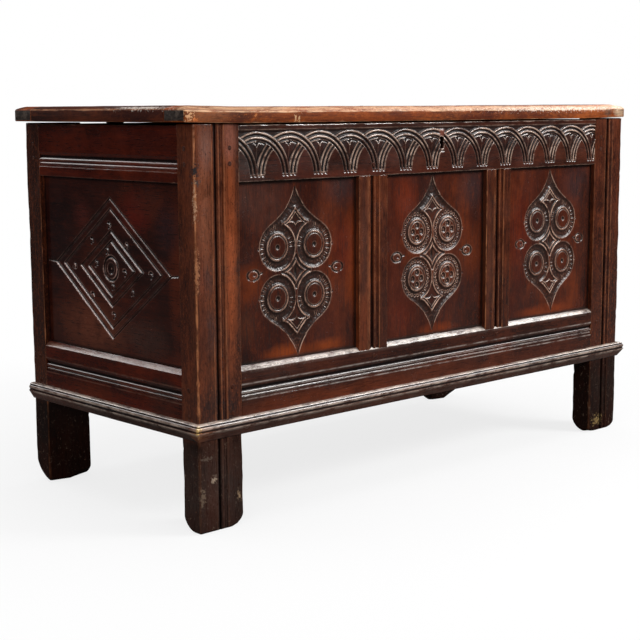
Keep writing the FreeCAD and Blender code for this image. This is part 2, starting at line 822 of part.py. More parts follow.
def pin_bore():
    radius = hinge_pin_radius + hinge_pin_play
    start = vec(-hinge_barrel_length / 2, 0, 0)
    return Part.makeCylinder(radius, hinge_barrel_length, start, vec(1, 0, 0))


def hinge_leaf(on_lid):
    """A leaf with its knuckles, in the hinge's own axes: pin along x at the origin.

    The lid's leaf lies level and runs towards -y with the middle knuckle; the carcass leaf hangs
    down the back of the top rail with the outer two.
    """
    half = hinge_leaf_thickness / 2
    back_face = -hinge_barrel_radius
    if on_lid:
        reach = hinge_barrel_radius + lid_back_inset
        plate = prism([vec(p.x, -reach - p.y, -half) for p in leaf_outline(0)], vec(0, 0, 2 * half))
    else:
        top = -hinge_barrel_radius - hinge_sweep_clearance
        outline = [vec(p.x, back_face, top - p.y) for p in leaf_outline(0)]
        plate = prism(outline, vec(0, hinge_leaf_thickness, 0))
    parts = [plate]
    for index in ((1,) if on_lid else (0, 2)):
        body, x0, x1 = knuckle(index)
        parts.append(body)
        if on_lid:
            parts.append(box(x0, x1, -reach, 0, -half, half))
        else:
            parts.append(box(x0, x1, back_face, back_face + hinge_leaf_thickness, top, 0))
    leaf = joined(parts).cut(pin_bore())
    if on_lid:
        holes = [
            nail_along(vec(x, -reach - y, -half), vec(0, 0, 1), nail_play) for x, y in leaf_nail_points()
        ]
    else:
        outside = back_face + hinge_leaf_thickness
        holes = [
            nail_along(vec(x, outside, top - y), vec(0, -1, 0), nail_play) for x, y in leaf_nail_points()
        ]
    return cut_all(leaf, holes)


def hinge_pin():
    """The pin, which stands a little out of both ends of the barrel."""
    length = hinge_barrel_length + 2 * hinge_pin_proud
    start = vec(-length / 2, 0, 0)
    return Part.makeCylinder(hinge_pin_radius, length, start, vec(1, 0, 0))


def at_hinge(shape, side):
    """A copy at the left (-1) or right (1) hinge."""
    result = shape.copy()
    result.translate(vec(side * hinge_offset, hinge_axis_y, hinge_axis_z))
    return result


def lid_leaf_recesses():
    """Where the lid's two leaves and their nails are let into its back rail."""
    cutters = []
    for side in (-1, 1):
        x = side * hinge_offset
        outline = [
            vec(x + p.x, lid_back - p.y, lid_bottom) for p in leaf_outline(hinge_recess_play)
        ]
        cutters.append(prism(outline, vec(0, 0, hinge_leaf_thickness + hinge_recess_play)))
        cutters += lid_leaf_nails(side, nail_play)
    return cutters


def lid_leaf_nails(side, play):
    x = side * hinge_offset
    return [
        nail_along(vec(x + u, lid_back - v, lid_bottom), vec(0, 0, 1), play) for u, v in leaf_nail_points()
    ]


def carcass_leaf_nails(side, play):
    top = hinge_axis_z - hinge_barrel_radius - hinge_sweep_clearance
    y = half_depth + hinge_leaf_thickness
    x = side * hinge_offset
    return [nail_along(vec(x + u, y, top - v), vec(0, -1, 0), play) for u, v in leaf_nail_points()]


# ---------------------------------------------------------------- lock
def keyhole_cutter(y0, y1):
    """A round hole with a slot below it, along y."""
    z = keyhole_height
    half = keyhole_slot_width / 2
    hole = Part.makeCylinder(keyhole_radius, y1 - y0, vec(lock_offset, y0, z), vec(0, 1, 0))
    slot = box(lock_offset - half, lock_offset + half, y0, y1, z - keyhole_slot_drop, z)
    return joined([hole, slot])


def lock_nails(play):
    """Nails at the corners of the lock's plate, driven forward into the rail."""
    half = lock_plate_length / 2 - lock_nail_inset
    top = lock_plate_top - lock_nail_inset
    bottom = lock_plate_top - lock_plate_height + lock_nail_inset
    return [
        nail_along(vec(lock_offset + x, lock_plate_back_y, z), vec(0, -1, 0), play)
        for x in (-half, half)
        for z in (bottom, top)
    ]


def bolt_guide_places():
    """Left edge of each of the bolt's two guides, clear of the talon between them."""
    back = bolt_tip_x - bolt_length + bolt_guide_inset + bolt_throw
    front = bolt_tip_x - bolt_guide_inset - bolt_guide_width
    return back, front


def bolt_guide(x0):
    """A staple on the plate that the bolt slides in."""
    half_y = bolt_thickness / 2 + bolt_play
    half_z = bolt_height / 2 + bolt_play
    outside = box(
        x0,
        x0 + bolt_guide_width,
        lock_plate_back_y,
        bolt_y + half_y + bolt_guide_wall,
        bolt_z - half_z - bolt_guide_wall,
        bolt_z + half_z + bolt_guide_wall,
    )
    way = box(x0, x0 + bolt_guide_width, bolt_y - half_y, bolt_y + half_y, bolt_z - half_z, bolt_z + half_z)
    return outside.cut(way)


def lock_plate():
    half = lock_plate_length / 2
    bottom = lock_plate_top - lock_plate_height
    plate = box(
        lock_offset - half, lock_offset + half, rail_inner_y, lock_plate_back_y, bottom, lock_plate_top
    )
    whole = joined([plate] + [bolt_guide(x0) for x0 in bolt_guide_places()])
    return cut_all(whole, [keyhole_cutter(rail_inner_y, lock_plate_back_y)] + lock_nails(nail_play))


def lock_case():
    """The lock's cover: open to the plate, with a slot in its top for the staple."""
    half = lock_case_length / 2
    wall = lock_case_wall
    bottom = case_top - lock_case_height
    x0, x1 = lock_offset - half, lock_offset + half
    outside = box(x0, x1, lock_plate_back_y, case_back_y, bottom, case_top)
    hollow = box(
        x0 + wall, x1 - wall, lock_plate_back_y, case_back_y - wall, bottom + wall, case_top - wall
    )
    reach_x = staple_width / 2 + staple_slot_play
    reach_y = staple_depth / 2 + staple_slot_play
    slot = box(
        staple_x - reach_x, staple_x + reach_x, bolt_y - reach_y, bolt_y + reach_y, case_top - wall, case_top
    )
    return cut_all(outside, [hollow, slot])


def lock_bolt():
    """The sliding bolt, withdrawn, with the notch that the key turns in."""
    x0 = bolt_tip_x - bolt_length
    z0, z1 = bolt_z - bolt_height / 2, bolt_z + bolt_height / 2
    bar = box(x0, bolt_tip_x, bolt_y - bolt_thickness / 2, bolt_y + bolt_thickness / 2, z0, z1)
    middle = lock_offset - bolt_throw / 2
    talon = box(
        middle - bolt_talon_length / 2,
        middle + bolt_talon_length / 2,
        bolt_y - bolt_thickness,
        bolt_y + bolt_thickness,
        z0,
        z0 + bolt_talon_depth,
    )
    return bar.cut(talon)


def lock_spring():
    """A leaf spring above the bolt, its foot turned up against the plate between the guides."""
    back, front = bolt_guide_places()
    x0, x1 = back + bolt_guide_width + bolt_play, front - bolt_play
    z0 = bolt_z + bolt_height / 2 + bolt_play
    leaf = box(x0, x1, bolt_y - spring_width / 2, bolt_y + spring_width / 2, z0, z0 + spring_thickness)
    foot = box(
        x0, x0 + spring_foot_length, lock_plate_back_y, bolt_y, z0, z0 + spring_thickness
    )
    return joined([leaf, foot])


def key_pin():
    """The pin that a barrel key turns on, riveted to the back of the case."""
    y0 = lock_plate_back_y + key_pin_gap
    length = case_back_y - lock_case_wall - y0
    return Part.makeCylinder(key_pin_radius, length, vec(lock_offset, y0, keyhole_height), vec(0, 1, 0))


def staple_nail_points():
    """Nails of the lid's staple plate, on the lid's underside."""
    reach = staple_plate_length / 2 - nail_head_width
    z = lid_bottom - staple_plate_thickness
    return [vec(staple_x + side * reach, bolt_y, z) for side in (-1, 1)]


def lock_staple():
    """The lid's staple: a plate under the front rail with an eye that the bolt enters."""
    half_y = staple_depth / 2
    half_eye = half_y - staple_wall
    plate_bottom = lid_bottom - staple_plate_thickness
    plate = box(
        staple_x - staple_plate_length / 2,
        staple_x + staple_plate_length / 2,
        bolt_y - half_y,
        bolt_y + half_y,
        plate_bottom,
        lid_bottom,
    )
    x0, x1 = staple_x - staple_width / 2, staple_x + staple_width / 2
    eye_bottom = bolt_z - staple_eye_height / 2
    eye_top = bolt_z + staple_eye_height / 2
    loop = box(x0, x1, bolt_y - half_y, bolt_y + half_y, eye_bottom - staple_wall, lid_bottom)
    eye = box(x0, x1, bolt_y - half_eye, bolt_y + half_eye, eye_bottom, eye_top)
    holes = [nail_along(point, vec(0, 0, 1), nail_play) for point in staple_nail_points()]
    return cut_all(joined([plate, loop]), [eye] + holes)


# ---------------------------------------------------------------- the whole chest
def carcass_pieces():
    pieces = {}
    for front in (True, False):
        for left in (True, False):
            name = f"{'front' if front else 'back'}_{'left' if left else 'right'}_stile"
            pieces[name] = stile(front, left)

    keyhole = keyhole_cutter(-half_depth, rail_inner_y)
    front_rail = placed(top_rail("front"), "front")
    pieces["front_top_rail"] = cut_all(front_rail, [keyhole] + lock_nails(nail_play))
    pieces["front_bottom_rail"] = placed(bottom_rail("front"), "front")
    back_rail = placed(top_rail("back"), "back")
    leaf_nails = carcass_leaf_nails(-1, nail_play) + carcass_leaf_nails(1, nail_play)
    pieces["back_top_rail"] = cut_all(back_rail, leaf_nails)
    pieces["back_bottom_rail"] = placed(bottom_rail("back"), "back")
    for side in ("left", "right"):
        pieces[f"{side}_end_top_rail"] = placed(top_rail(side), side)
        pieces[f"{side}_end_bottom_rail"] = placed(bottom_rail(side), side)
        pieces[f"{side}_end_panel"] = placed(frame_panel(0, end_span), side)

    for side, turn in (("front", 1), ("back", -1)):
        for name, x in (("left", -muntin_offset), ("right", muntin_offset)):
            pieces[f"{side}_{name}_muntin"] = placed(muntin(side, turn * x), side)
        for name, x in (("left", -2 * muntin_offset), ("middle", 0.0), ("right", 2 * muntin_offset)):
            pieces[f"{side}_{name}_panel"] = placed(frame_panel(turn * x, front_opening), side)

    for i, board in enumerate(floor_boards()):
        pieces[f"floor_board_{i + 1}"] = board
    for side in ("front", "left", "right"):
        pieces[f"base_moulding_{side}"] = placed(base_moulding(side), side)
    return pieces


def fastener_groups():
    """Pegs and nails, many like solids to a piece."""
    groups = {}
    for side in ("front", "back"):
        groups[f"{side}_frame_pegs"] = [placed(peg, side) for peg in pegs_at(frame_peg_places(side))]
    groups["end_frame_pegs"] = [
        placed(peg, side) for side in ("left", "right") for peg in pegs_at(frame_peg_places(side))
    ]
    groups["base_moulding_nails"] = [
        placed(one, side) for side in ("front", "left", "right") for one in base_nails(side, 0)
    ]
    groups["lid_pegs"] = lid_pegs(0)
    groups["carcass_iron_nails"] = carcass_leaf_nails(-1, 0) + carcass_leaf_nails(1, 0) + lock_nails(0)
    staple_nails = [nail_along(point, vec(0, 0, 1)) for point in staple_nail_points()]
    groups["lid_iron_nails"] = lid_leaf_nails(-1, 0) + lid_leaf_nails(1, 0) + staple_nails
    return {name: Part.makeCompound(solids) for name, solids in groups.items()}


def lid_pieces():
    pieces = {
        "lid_front_rail": lid_long_rail(True),
        "lid_back_rail": lid_long_rail(False),
    }
    names = ("lid_left_rail", "lid_left_muntin", "lid_right_muntin", "lid_right_rail")
    for name, (x0, x1) in zip(names, lid_bar_edges()):
        pieces[name] = lid_cross_piece(x0, x1)
    for name, panel in zip(("lid_left_panel", "lid_middle_panel", "lid_right_panel"), lid_panels()):
        pieces[name] = panel
    return pieces


def hinge_pieces():
    pieces = {}
    for name, side in (("left", -1), ("right", 1)):
        pieces[f"{name}_hinge_carcass_leaf"] = at_hinge(hinge_leaf(False), side)
        pieces[f"{name}_hinge_lid_leaf"] = at_hinge(hinge_leaf(True), side)
        pieces[f"{name}_hinge_pin"] = at_hinge(hinge_pin(), side)
    return pieces


def lock_pieces():
    return {
        "lock_plate": lock_plate(),
        "lock_case": lock_case(),
        "lock_bolt": lock_bolt(),
        "lock_spring": lock_spring(),
        "lock_key_pin": key_pin(),
        "lock_staple": lock_staple(),
    }


pieces = {}
pieces.update(carcass_pieces())
pieces.update(fastener_groups())
pieces.update(lid_pieces())
pieces.update(hinge_pieces())
pieces.update(lock_pieces())

for name, shape in pieces.items():
    shape.exportStep(os.path.join("parts", f"{name}.step"))
print(len(pieces), "pieces,", sum(len(shape.Solids) for shape in pieces.values()), "solids")
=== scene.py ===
import json
import math

import bmesh
import bpy
import numpy as np
from mathutils import Matrix, Vector


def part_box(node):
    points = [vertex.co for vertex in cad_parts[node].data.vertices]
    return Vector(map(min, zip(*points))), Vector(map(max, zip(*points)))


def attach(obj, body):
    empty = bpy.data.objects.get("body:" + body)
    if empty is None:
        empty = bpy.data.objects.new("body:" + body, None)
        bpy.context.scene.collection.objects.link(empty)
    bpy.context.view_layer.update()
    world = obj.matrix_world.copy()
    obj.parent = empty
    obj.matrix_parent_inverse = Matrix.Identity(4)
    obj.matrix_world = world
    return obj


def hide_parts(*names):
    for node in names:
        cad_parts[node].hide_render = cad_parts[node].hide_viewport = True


# A joined oak coffer of the seventeenth century, dressed over its CAD frame. Wood is remade as worn
# bars, carved boards and a mitred moulding; iron keeps its CAD shape. Shapes are worked out in
# millimetres on the faces of the chest and placed in metres.
#
# A face of the chest has its own axes: a runs across it (to the right for someone who looks at it),
# b goes in behind it, and c goes up it, or to the back on the lid and the floor.

MM = 0.001
SHARP_ANGLE = math.radians(38)
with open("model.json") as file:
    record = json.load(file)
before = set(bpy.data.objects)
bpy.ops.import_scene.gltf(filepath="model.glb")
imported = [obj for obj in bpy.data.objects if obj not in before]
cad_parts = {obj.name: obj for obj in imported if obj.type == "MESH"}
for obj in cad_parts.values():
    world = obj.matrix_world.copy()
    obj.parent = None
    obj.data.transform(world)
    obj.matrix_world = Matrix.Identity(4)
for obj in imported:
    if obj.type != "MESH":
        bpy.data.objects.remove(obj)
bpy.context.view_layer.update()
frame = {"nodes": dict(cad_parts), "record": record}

# ---- sizes taken from the frame, in mm


def box_mm(node):
    low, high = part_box(node)
    return np.array(low) / MM, np.array(high) / MM


stile_low, stile_high = box_mm("front_left_stile")
HALF_LENGTH, HALF_DEPTH = -stile_low[0], -stile_low[1]
STILE_WIDTH, STILE_THICKNESS = stile_high[0] - stile_low[0], stile_high[1] - stile_low[1]
STILE_TOP = stile_high[2]
rail_low, rail_high = box_mm("front_top_rail")
OPENING_TOP, RAIL_TOP = rail_low[2], rail_high[2]
RAIL_THICKNESS = rail_high[1] - rail_low[1]
LEG_HEIGHT = box_mm("front_bottom_rail")[0][2]
OPENING_BOTTOM = box_mm("front_bottom_rail")[1][2]
PANEL_SETBACK = box_mm("front_middle_panel")[0][1] + HALF_DEPTH
PANEL_THICKNESS = box_mm("front_middle_panel")[1][1] - box_mm("front_middle_panel")[0][1]
FRONT_SPAN = HALF_LENGTH - STILE_WIDTH          # middle to the shoulder of a front rail
END_SPAN = HALF_DEPTH - STILE_THICKNESS         # middle to the shoulder of an end rail
muntin_low, muntin_high = box_mm("front_right_muntin")
MUNTIN_LEFT, MUNTIN_RIGHT = muntin_low[0], muntin_high[0]
LID_LOW, LID_HIGH = box_mm("lid_front_rail")[0], box_mm("lid_front_rail")[1]
LID_BACK = box_mm("lid_back_rail")[1][1]
LID_RAIL_WIDTH = LID_HIGH[1] - LID_LOW[1]
LID_THICKNESS = LID_HIGH[2] - LID_LOW[2]
LID_PANEL_RECESS = LID_HIGH[2] - box_mm("lid_middle_panel")[1][2]
FLOOR_TOP = box_mm("floor_board_2")[1][2]

# ---- shapes of the joiner's work, in mm
CHANNEL_SHIFT = 2.2         # the groove runs this far to the left of a stile's or muntin's middle
CHANNEL_DEPTH = 4.5
END_CHANNEL_HEIGHT = 636.5
BOTTOM_CHANNEL_HEIGHT = 241.0
CHAMFER_HEIGHT = 8.0
LID_EDGE_RUN, LID_FRONT_DROP, LID_END_DROP = 24.0, 9.0, 6.5
TOP_LEVELS = {"lid": LID_HIGH[2], "floor": FLOOR_TOP}

slots = {part["node"]: part["material_slot"] for part in frame["record"]["subparts"]}
body_of = {node: body for body, nodes in frame["record"]["behaviour"]["bodies"].items() for node in nodes}


def place(side, a, b, c):
    """World coordinates, in metres, of points given on a face of the chest in mm."""
    if side == "front":
        xyz = (a, b - HALF_DEPTH, c)
    elif side == "back":
        xyz = (-a, HALF_DEPTH - b, c)
    elif side == "left":
        xyz = (b - HALF_LENGTH, -a, c)
    elif side == "right":
        xyz = (HALF_LENGTH - b, a, c)
    else:
        xyz = (a, c, TOP_LEVELS[side] - b)
    return np.stack(np.broadcast_arrays(*xyz), -1) * MM


# ---- noise
def lattice_noise(x, y, seed):
    """Smooth noise from 0 to 1 with one random value for each whole number of x and y."""
    table = np.random.default_rng(seed).random((64, 64))
    xi, yi = np.floor(x).astype(int), np.floor(y).astype(int)
    fx, fy = x - xi, y - yi
    fx, fy = fx * fx * (3 - 2 * fx), fy * fy * (3 - 2 * fy)

    def at(i, j):
        return table[(xi + i) % 64, (yi + j) % 64]

    low = at(0, 0) * (1 - fx) + at(1, 0) * fx
    high = at(0, 1) * (1 - fx) + at(1, 1) * fx
    return low * (1 - fy) + high * fy


def rough_noise(x, y, seed, octaves=3):
    """Several sizes of smooth noise added up, from about -1 to 1."""
    total = 0.0
    for i in range(octaves):
        total = total + (lattice_noise(x * 2**i, y * 2**i, seed + i) - 0.5) / 2**i
    return total


def seed_of(name):
    return sum(ord(letter) * (i + 1) for i, letter in enumerate(name)) % 9973


def unit(values):
    """Held between 0 and 1."""
    return np.clip(values, 0, 1)


def rounding(q):
    """A quarter round: 0 where q is 0, 1 where q is 1."""
    return 1 - np.sqrt(unit(1 - q * q))


def hump(distance, width):
    """A smooth rise: 1 in the middle, near 0 at twice the width."""
    return np.exp(-((distance / width) ** 2))


def follow(values, outline, **beyond):
    """Reads values off an outline of pairs: a place and what holds there."""
    return np.interp(values, *zip(*outline), **beyond)


# ---- meshes
def add_piece(name, points, faces, nodes, material, wear_and_highlight=None, grime_and_shade=None, caps=(), cap_material=None):
    """A closed mesh piece that stands for CAD nodes and rides on their body.

    wear_and_highlight and grime_and_shade are values for its first points: pale wear with some painted
    highlights, and dirt with painted shade. caps are the faces of the other material.
    """
    mesh = bpy.data.meshes.new(name)
    mesh.from_pydata(points, [], faces)
    mesh.materials.append(material)
    if cap_material:
        mesh.materials.append(cap_material)
        for index in caps:
            mesh.polygons[index].material_index = 1
    for label, values in (("wear_and_highlight", wear_and_highlight), ("grime_and_shade", grime_and_shade)):
        if values is not None:
            padded = np.zeros(len(points), dtype=np.float32)
            padded[:values.size] = values.ravel()
            mesh.attributes.new(label, "FLOAT", "POINT").data.foreach_set("value", padded)
    shell = bmesh.new()
    shell.from_mesh(mesh)
    bmesh.ops.recalc_face_normals(shell, faces=shell.faces)
    shell.to_mesh(mesh)
    shell.free()
    mesh.shade_smooth()
    mesh.set_sharp_from_angle(angle=SHARP_ANGLE)
    piece = bpy.data.objects.new(name, mesh)
    bpy.context.collection.objects.link(piece)
    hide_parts(*nodes)
    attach(piece, body_of[nodes[0]])


def grid_faces(rows, columns, wrap=False):
    """Four-sided faces of a grid of points that are numbered row by row."""
    r = np.arange(rows - 1)[:, None]
    k = np.arange(columns if wrap else columns - 1)[None, :]
    k1 = (k + 1) % columns
    corners = [r * columns + k, r * columns + k1, (r + 1) * columns + k1, (r + 1) * columns + k]
    return [tuple(face) for face in np.stack([corner.ravel() for corner in corners], -1)]


def tube(points):
    """Points and faces of a tube of rows of points, closed by a fan at each end."""
    rows, count = points.shape[:2]
    total = rows * count
    faces = grid_faces(rows, count, wrap=True)
    for row, centre in ((0, total), (rows - 1, total + 1)):
        faces += [(row * count + k, row * count + (k + 1) % count, centre) for k in range(count)]
    return np.concatenate([points.reshape(-1, 3), [points[0].mean(0), points[-1].mean(0)]]), faces


CHANNEL_OUTLINE = [         # across the channel from its slope to its fillet, and how deep it is
    (-8.3, 0.0), (-7.6, 0.5), (-2.5, 2.5), (-2.2, CHANNEL_DEPTH), (2.2, CHANNEL_DEPTH), (2.5, 2.3),
    (3.6, 1.3), (5.0, 0.8), (6.3, 0.7), (7.6, 0.8), (9.0, 1.3), (10.0, 2.2), (10.5, 2.2), (11.4, 1.4),
    (12.5, 1.1), (13.6, 1.4), (14.5, 2.1), (14.8, 2.1), (15.4, 0.7), (16.4, 0.5), (18.6, 0.5), (19.5, 0.0),
]


def channel(s, middle, direction=1):
    """Depth of the scratch-moulded channel: a slope, a deep groove, a bead, a reed and a fillet."""
    return follow((s - middle) * direction, CHANNEL_OUTLINE, left=0, right=0)


def channel_points(middle, direction=1):
    offsets = [u for u, _ in CHANNEL_OUTLINE] + [-9.0, -5.0, 0.0, 20.4]
    return [middle + direction * u for u in offsets]

EDGE_CLEARANCE = 3.2        # the points of a profile keep this far from the edges of its bar


def bar(name, side, along, a, b, c, radii, material, profile=None, points=(), ends=(0.6, 0.6),
        wave=0.35, hollow_grime_and_shade=None, ridges=(), reshape=None, cap_material=None, step=5.0, flank=()):
    """A worn bar or board on a face of the chest.

    a, b and c are its ranges. It runs along a or c, its section lies across the other one and b, and
    radii are how far its four long edges are worn round: outer face low, outer face high, inner face
    high, inner face low. Each is a number or a function of the place along the bar. profile gives the
    depth cut into the outer face at each place across it, hollow_grime_and_shade the depth whose deep parts
    are darkened for dirt and painted shade, and ridges are places across it that are painted pale: rubbed
    wear, and on the bottom rails' chamfer and channel a painted sheen as well. flank gives depths for more
    points on its sides.
    """
    seed = seed_of(name)
    (s0, s1), (t0, t1) = (a, c) if along == "c" else (c, a)
    stations = np.linspace(t0, t1, max(3, int((t1 - t0) / step)))
    for end, reach, sign in ((t0, ends[0], 1), (t1, ends[1], -1)):
        stations = np.append(stations, end + sign * reach * np.array([0, 0.06, 0.2, 0.4, 0.7, 1.0]))
    t = np.unique(np.round(stations, 4))[:, None]

    def inset_at(distance, reach):
        return reach * rounding(unit(1 - distance / reach))

    def radius_at(index):
        base = radii[index](t) if callable(radii[index]) else radii[index] + 0 * t
        nick = unit(rough_noise(t / 24, t * 0 + index, seed + 20 + index) - 0.40) * 4
        uneven = 0.9 * rough_noise(t / 40, t * 0, seed + 30 + index)
        return np.maximum(base * (1 + uneven + nick), 0.15)

    inset = np.maximum(inset_at(t - t0, ends[0]), inset_at(t1 - t, ends[1]))
    inset = inset * (1 + 0.35 * rough_noise(t / 6, t * 0, seed + 9))
    cut = profile or np.zeros_like
    r = [radius_at(index) for index in range(4)]
    low, high = s0 + inset, s1 - inset
    outer, inner = b[0] + inset, b[1] - inset
    columns = []                # of the section: place across, depth, wear with painted highlights, and grime with painted shade, for every station

    def add(*values):
        columns.append([value + 0 * t for value in values])

    def corner(index, s_at, b_at, s_sign, b_sign, angles):
        for angle in np.radians(angles):
            s = s_at + s_sign * r[index] * (1 - math.cos(angle))
            depth = b_at + b_sign * r[index] * (1 - math.sin(angle))
            add(s, depth, np.clip(r[index] / 2.5, 0.1, 1.0) * math.sin(2 * angle) ** 0.5, 0.0)

    out_to_in = [0, 22, 45, 68, 90]
    corner(0, low, outer + cut(np.array([[s0]])), 1, 1, out_to_in)
    across = [*points, *np.linspace(s0, s1, 9)[1:-1]]
    across = [s for s in across if s0 + EDGE_CLEARANCE < s < s1 - EDGE_CLEARANCE]
    for s in sorted(set(np.round(across, 3))):
        depth = float(cut(np.array([s]))[0])
        held = float(hollow_grime_and_shade(np.array([s]))[0]) if hollow_grime_and_shade else depth
        uneven = wave * rough_noise(t / 60, t * 0 + s / 25, seed + 3)
        lift = max([0.0] + [worn * math.exp(-(((s - ridge) / reach) ** 2)) for ridge, reach, worn in ridges])
        # the groove's deep part is darkened: dirt and painted shade
        dirty_and_shaded = min(1.0, max(0.0, held - 2.0) / 1.2)
        add(np.clip(s, low + r[0], high - r[1]), np.maximum(b[0] + depth, outer) + uneven, lift, dirty_and_shaded)
    corner(1, high, outer + cut(np.array([[s1]])), -1, 1, out_to_in[::-1])
    for place_at in flank:
        add(high, place_at, 0.0, 0.0)
    corner(2, high, inner, -1, -1, out_to_in)
    add((high + low) / 2, inner, 0.0, 0.0)
    corner(3, low, inner, 1, -1, out_to_in[::-1])
    for place_at in reversed(flank):
        add(low, place_at, 0.0, 0.0)

    s, depth, worn, dirty_and_shaded = (np.concatenate(values, 1) for values in zip(*columns))
    t_all = np.repeat(t, len(columns), 1)
    if reshape:
        s, depth, t_all = reshape(s, depth, t_all)
    flat, faces = tube(place(side, s, depth, t_all) if along == "c" else place(side, t_all, depth, s))
    caps = range(len(faces) - 2 * len(columns), len(faces)) if cap_material else ()
    add_piece(name, flat, faces, [name], material, worn, dirty_and_shaded, caps, cap_material)


# ---- carving
def ramp(distance, width):
    """0 below -width / 2, 1 above width / 2, smooth between."""
    q = unit(distance / width + 0.5)
    return q * q * (3 - 2 * q)


def vee(distance, width, depth):
    """Depth of a V-cut along a line, with its bottom eased."""
    return depth * unit(1 - (distance / (width / 2)) ** 2) ** 0.75


def path_distance(x, y, path):
    """Distance to a run of straight lines."""
    best = np.full(x.shape, 1e9)
    for (x0, y0), (x1, y1) in zip(path, path[1:]):
        dx, dy = x1 - x0, y1 - y0
        along = unit(((x - x0) * dx + (y - y0) * dy) / (dx * dx + dy * dy))
        best = np.minimum(best, np.hypot(x - x0 - along * dx, y - y0 - along * dy))
    return best


def bezier(p0, p1, p2, p3, count=14):
    t = np.linspace(0, 1, count)[:, None]
    p0, p1, p2, p3 = (np.array(p, float) for p in (p0, p1, p2, p3))
    return (1 - t) ** 3 * p0 + 3 * (1 - t) ** 2 * t * p1 + 3 * (1 - t) * t**2 * p2 + t**3 * p3


def soften(values, sigma, step):
    """A Gaussian blur in both directions."""
    reach = max(1, int(3 * sigma / step))
    weights = np.exp(-0.5 * (np.arange(-reach, reach + 1) * step / sigma) ** 2)
    weights /= weights.sum()
    for axis in (0, 1):
        padded = np.pad(values, [(reach, reach) if i == axis else (0, 0) for i in (0, 1)], mode="edge")
        values = sum(
            weight * np.take(padded, range(i, i + values.shape[axis]), axis=axis)
            for i, weight in enumerate(weights)
        )
    return values


def carved_board(name, side, a, b, c, carving, material, step=1.0, open_edges=(0, 0, 0, 0), hidden=0.0,
                 rubbing_and_highlight=None, dull_walls=0.0):
    """A board whose outer face is a fine grid, cut in by carving(a, c).

    open_edges says how worn the face's edges are: left, right, bottom, top. hidden is how far a panel
    goes in behind its frame, along which the panel gets painted shade. rubbing_and_highlight(a, c) is how
    pale the carving's edges are rubbed, with painted highlights, and dull_walls is how far its steep sides
    are darkened and dulled: dirt and painted shade.
    """
    seed = seed_of(name)
    columns = int(round((a[1] - a[0]) / step)) + 1
    rows = int(round((c[1] - c[0]) / step)) + 1
    u, v = np.meshgrid(np.linspace(*a, columns), np.linspace(*c, rows))
    depth = soften(carving(u, v), 0.45, step)
    near, wide = soften(depth, 1.1, step), soften(depth, 5.0, step)
    # pierced marks the keyhole, which is painted dark as its shade
    pierced = ramp(near - 5.0, 2.0)
    worn = unit((near - depth) / 0.32) ** 1.4 * unit(wide / 0.7) * (1 - pierced)
    # the rubbing, where given, also paints highlights on the carving's edges
    if rubbing_and_highlight:
        worn = worn * rubbing_and_highlight(u, v)
    # darker in the hollows of the carving: dirt and painted shade
    hollow_grime_and_shade = np.maximum(unit((depth - near) / 0.5 + depth / 4.5), pierced)
    steep = np.hypot(*np.gradient(depth, step))
    # the steep sides of the cuts: dirt and painted shade, which also dulls their gloss
    hollow_grime_and_shade = np.maximum(hollow_grime_and_shade, np.clip(2 * steep - 0.4, 0, dull_walls) * (1 - worn))
    borders = (u - a[0], a[1] - u, v - c[0], c[1] - v)
    inside = np.minimum.reduce(borders) - hidden
    # painted shade of the frame along the panel's borders
    hollow_grime_and_shade = np.maximum(hollow_grime_and_shade, np.clip(1 - inside / 7.0, 0, 0.9) * (hidden > 0))
    for index, (distance, radius) in enumerate(zip(borders, open_edges)):
        if radius:
            radius = radius * (1 + 0.9 * rough_noise((u + v) / 22, u * 0 + index, seed + index))
            depth += radius * rounding(unit(1 - distance / radius))
            worn = np.maximum(worn, unit(1.4 - distance / radius))
    depth += 0.35 * rough_noise(u / 70, v / 70, seed + 5)
    depth += 0.07 * rough_noise(u / 9, v / 9, seed + 6)
    top = place(side, u, b[0] + np.maximum(depth, -0.2), v).reshape(-1, 3)
    bottom = np.arange(columns)
    right = np.arange(1, rows) * columns + columns - 1
    upper = (rows - 1) * columns + np.arange(columns - 2, -1, -1)
    left = np.arange(rows - 2, 0, -1) * columns
    border = np.concatenate([bottom, right, upper, left])
    rim = place(side, u.ravel()[border], b[1], v.ravel()[border])
    centre = place(side, np.array([sum(a) / 2]), b[1], np.array([sum(c) / 2]))
    start, hub = len(top), len(top) + len(border)
    after = np.roll(np.arange(len(border)), -1)
    walls = np.stack([border, start + np.arange(len(border)), start + after, border[after]], -1)
    faces = grid_faces(rows, columns) + [tuple(wall) for wall in walls]
    faces += [(start + i, start + j, hub) for i, j in enumerate(after)]
    add_piece(name, np.concatenate([top, rim, centre]), faces, [name], material, worn, hollow_grime_and_shade)


# The arcade on the top rail: equal arches that overlap by half, each one's right limb passing over
# the left limb of the next.
ARCH_PITCH = 73.4
ARCH_FIRST_FOOT = -463.0
ARCH_FOOT_HEIGHT = 610.0
ARCADE_LENGTH, ARCADE_DRIFT = 954.0, 2.4    # the arches in the middle stand this far to the right
ARCADE_TOP = 687.5
ARCH_LINE = 57.0            # radius of the lowest of an arch's three lines
ARCH_OUTER = 75.2           # radius at which an arch's band ends
PASSED_UNDER = 0.25         # how much deeper the lower of two limbs lies
SPANDREL_DEPTH = 2.9
LOWEST_GROOVE, LOWEST_DEPTH = (55.5, 58.6), 3.0     # radii of the groove at an arch's lowest line
EYE_HEIGHT, EYE_RISE, EYE_HALF = 47.5, 9.0, 10.5    # the two round wings at the top of an eye
STOP_HEIGHT = 1.5           # of the plain strip at the arches' feet
NICK_PITCH, NICK_REACH = 8.6, 17        # the gouged nicks at the arches' feet
KEYHOLE = (8.4, 662.5)
KEYHOLE_RADIUS, KEYHOLE_SLOT, KEYHOLE_DROP = 5.2, 2.9, 15.5
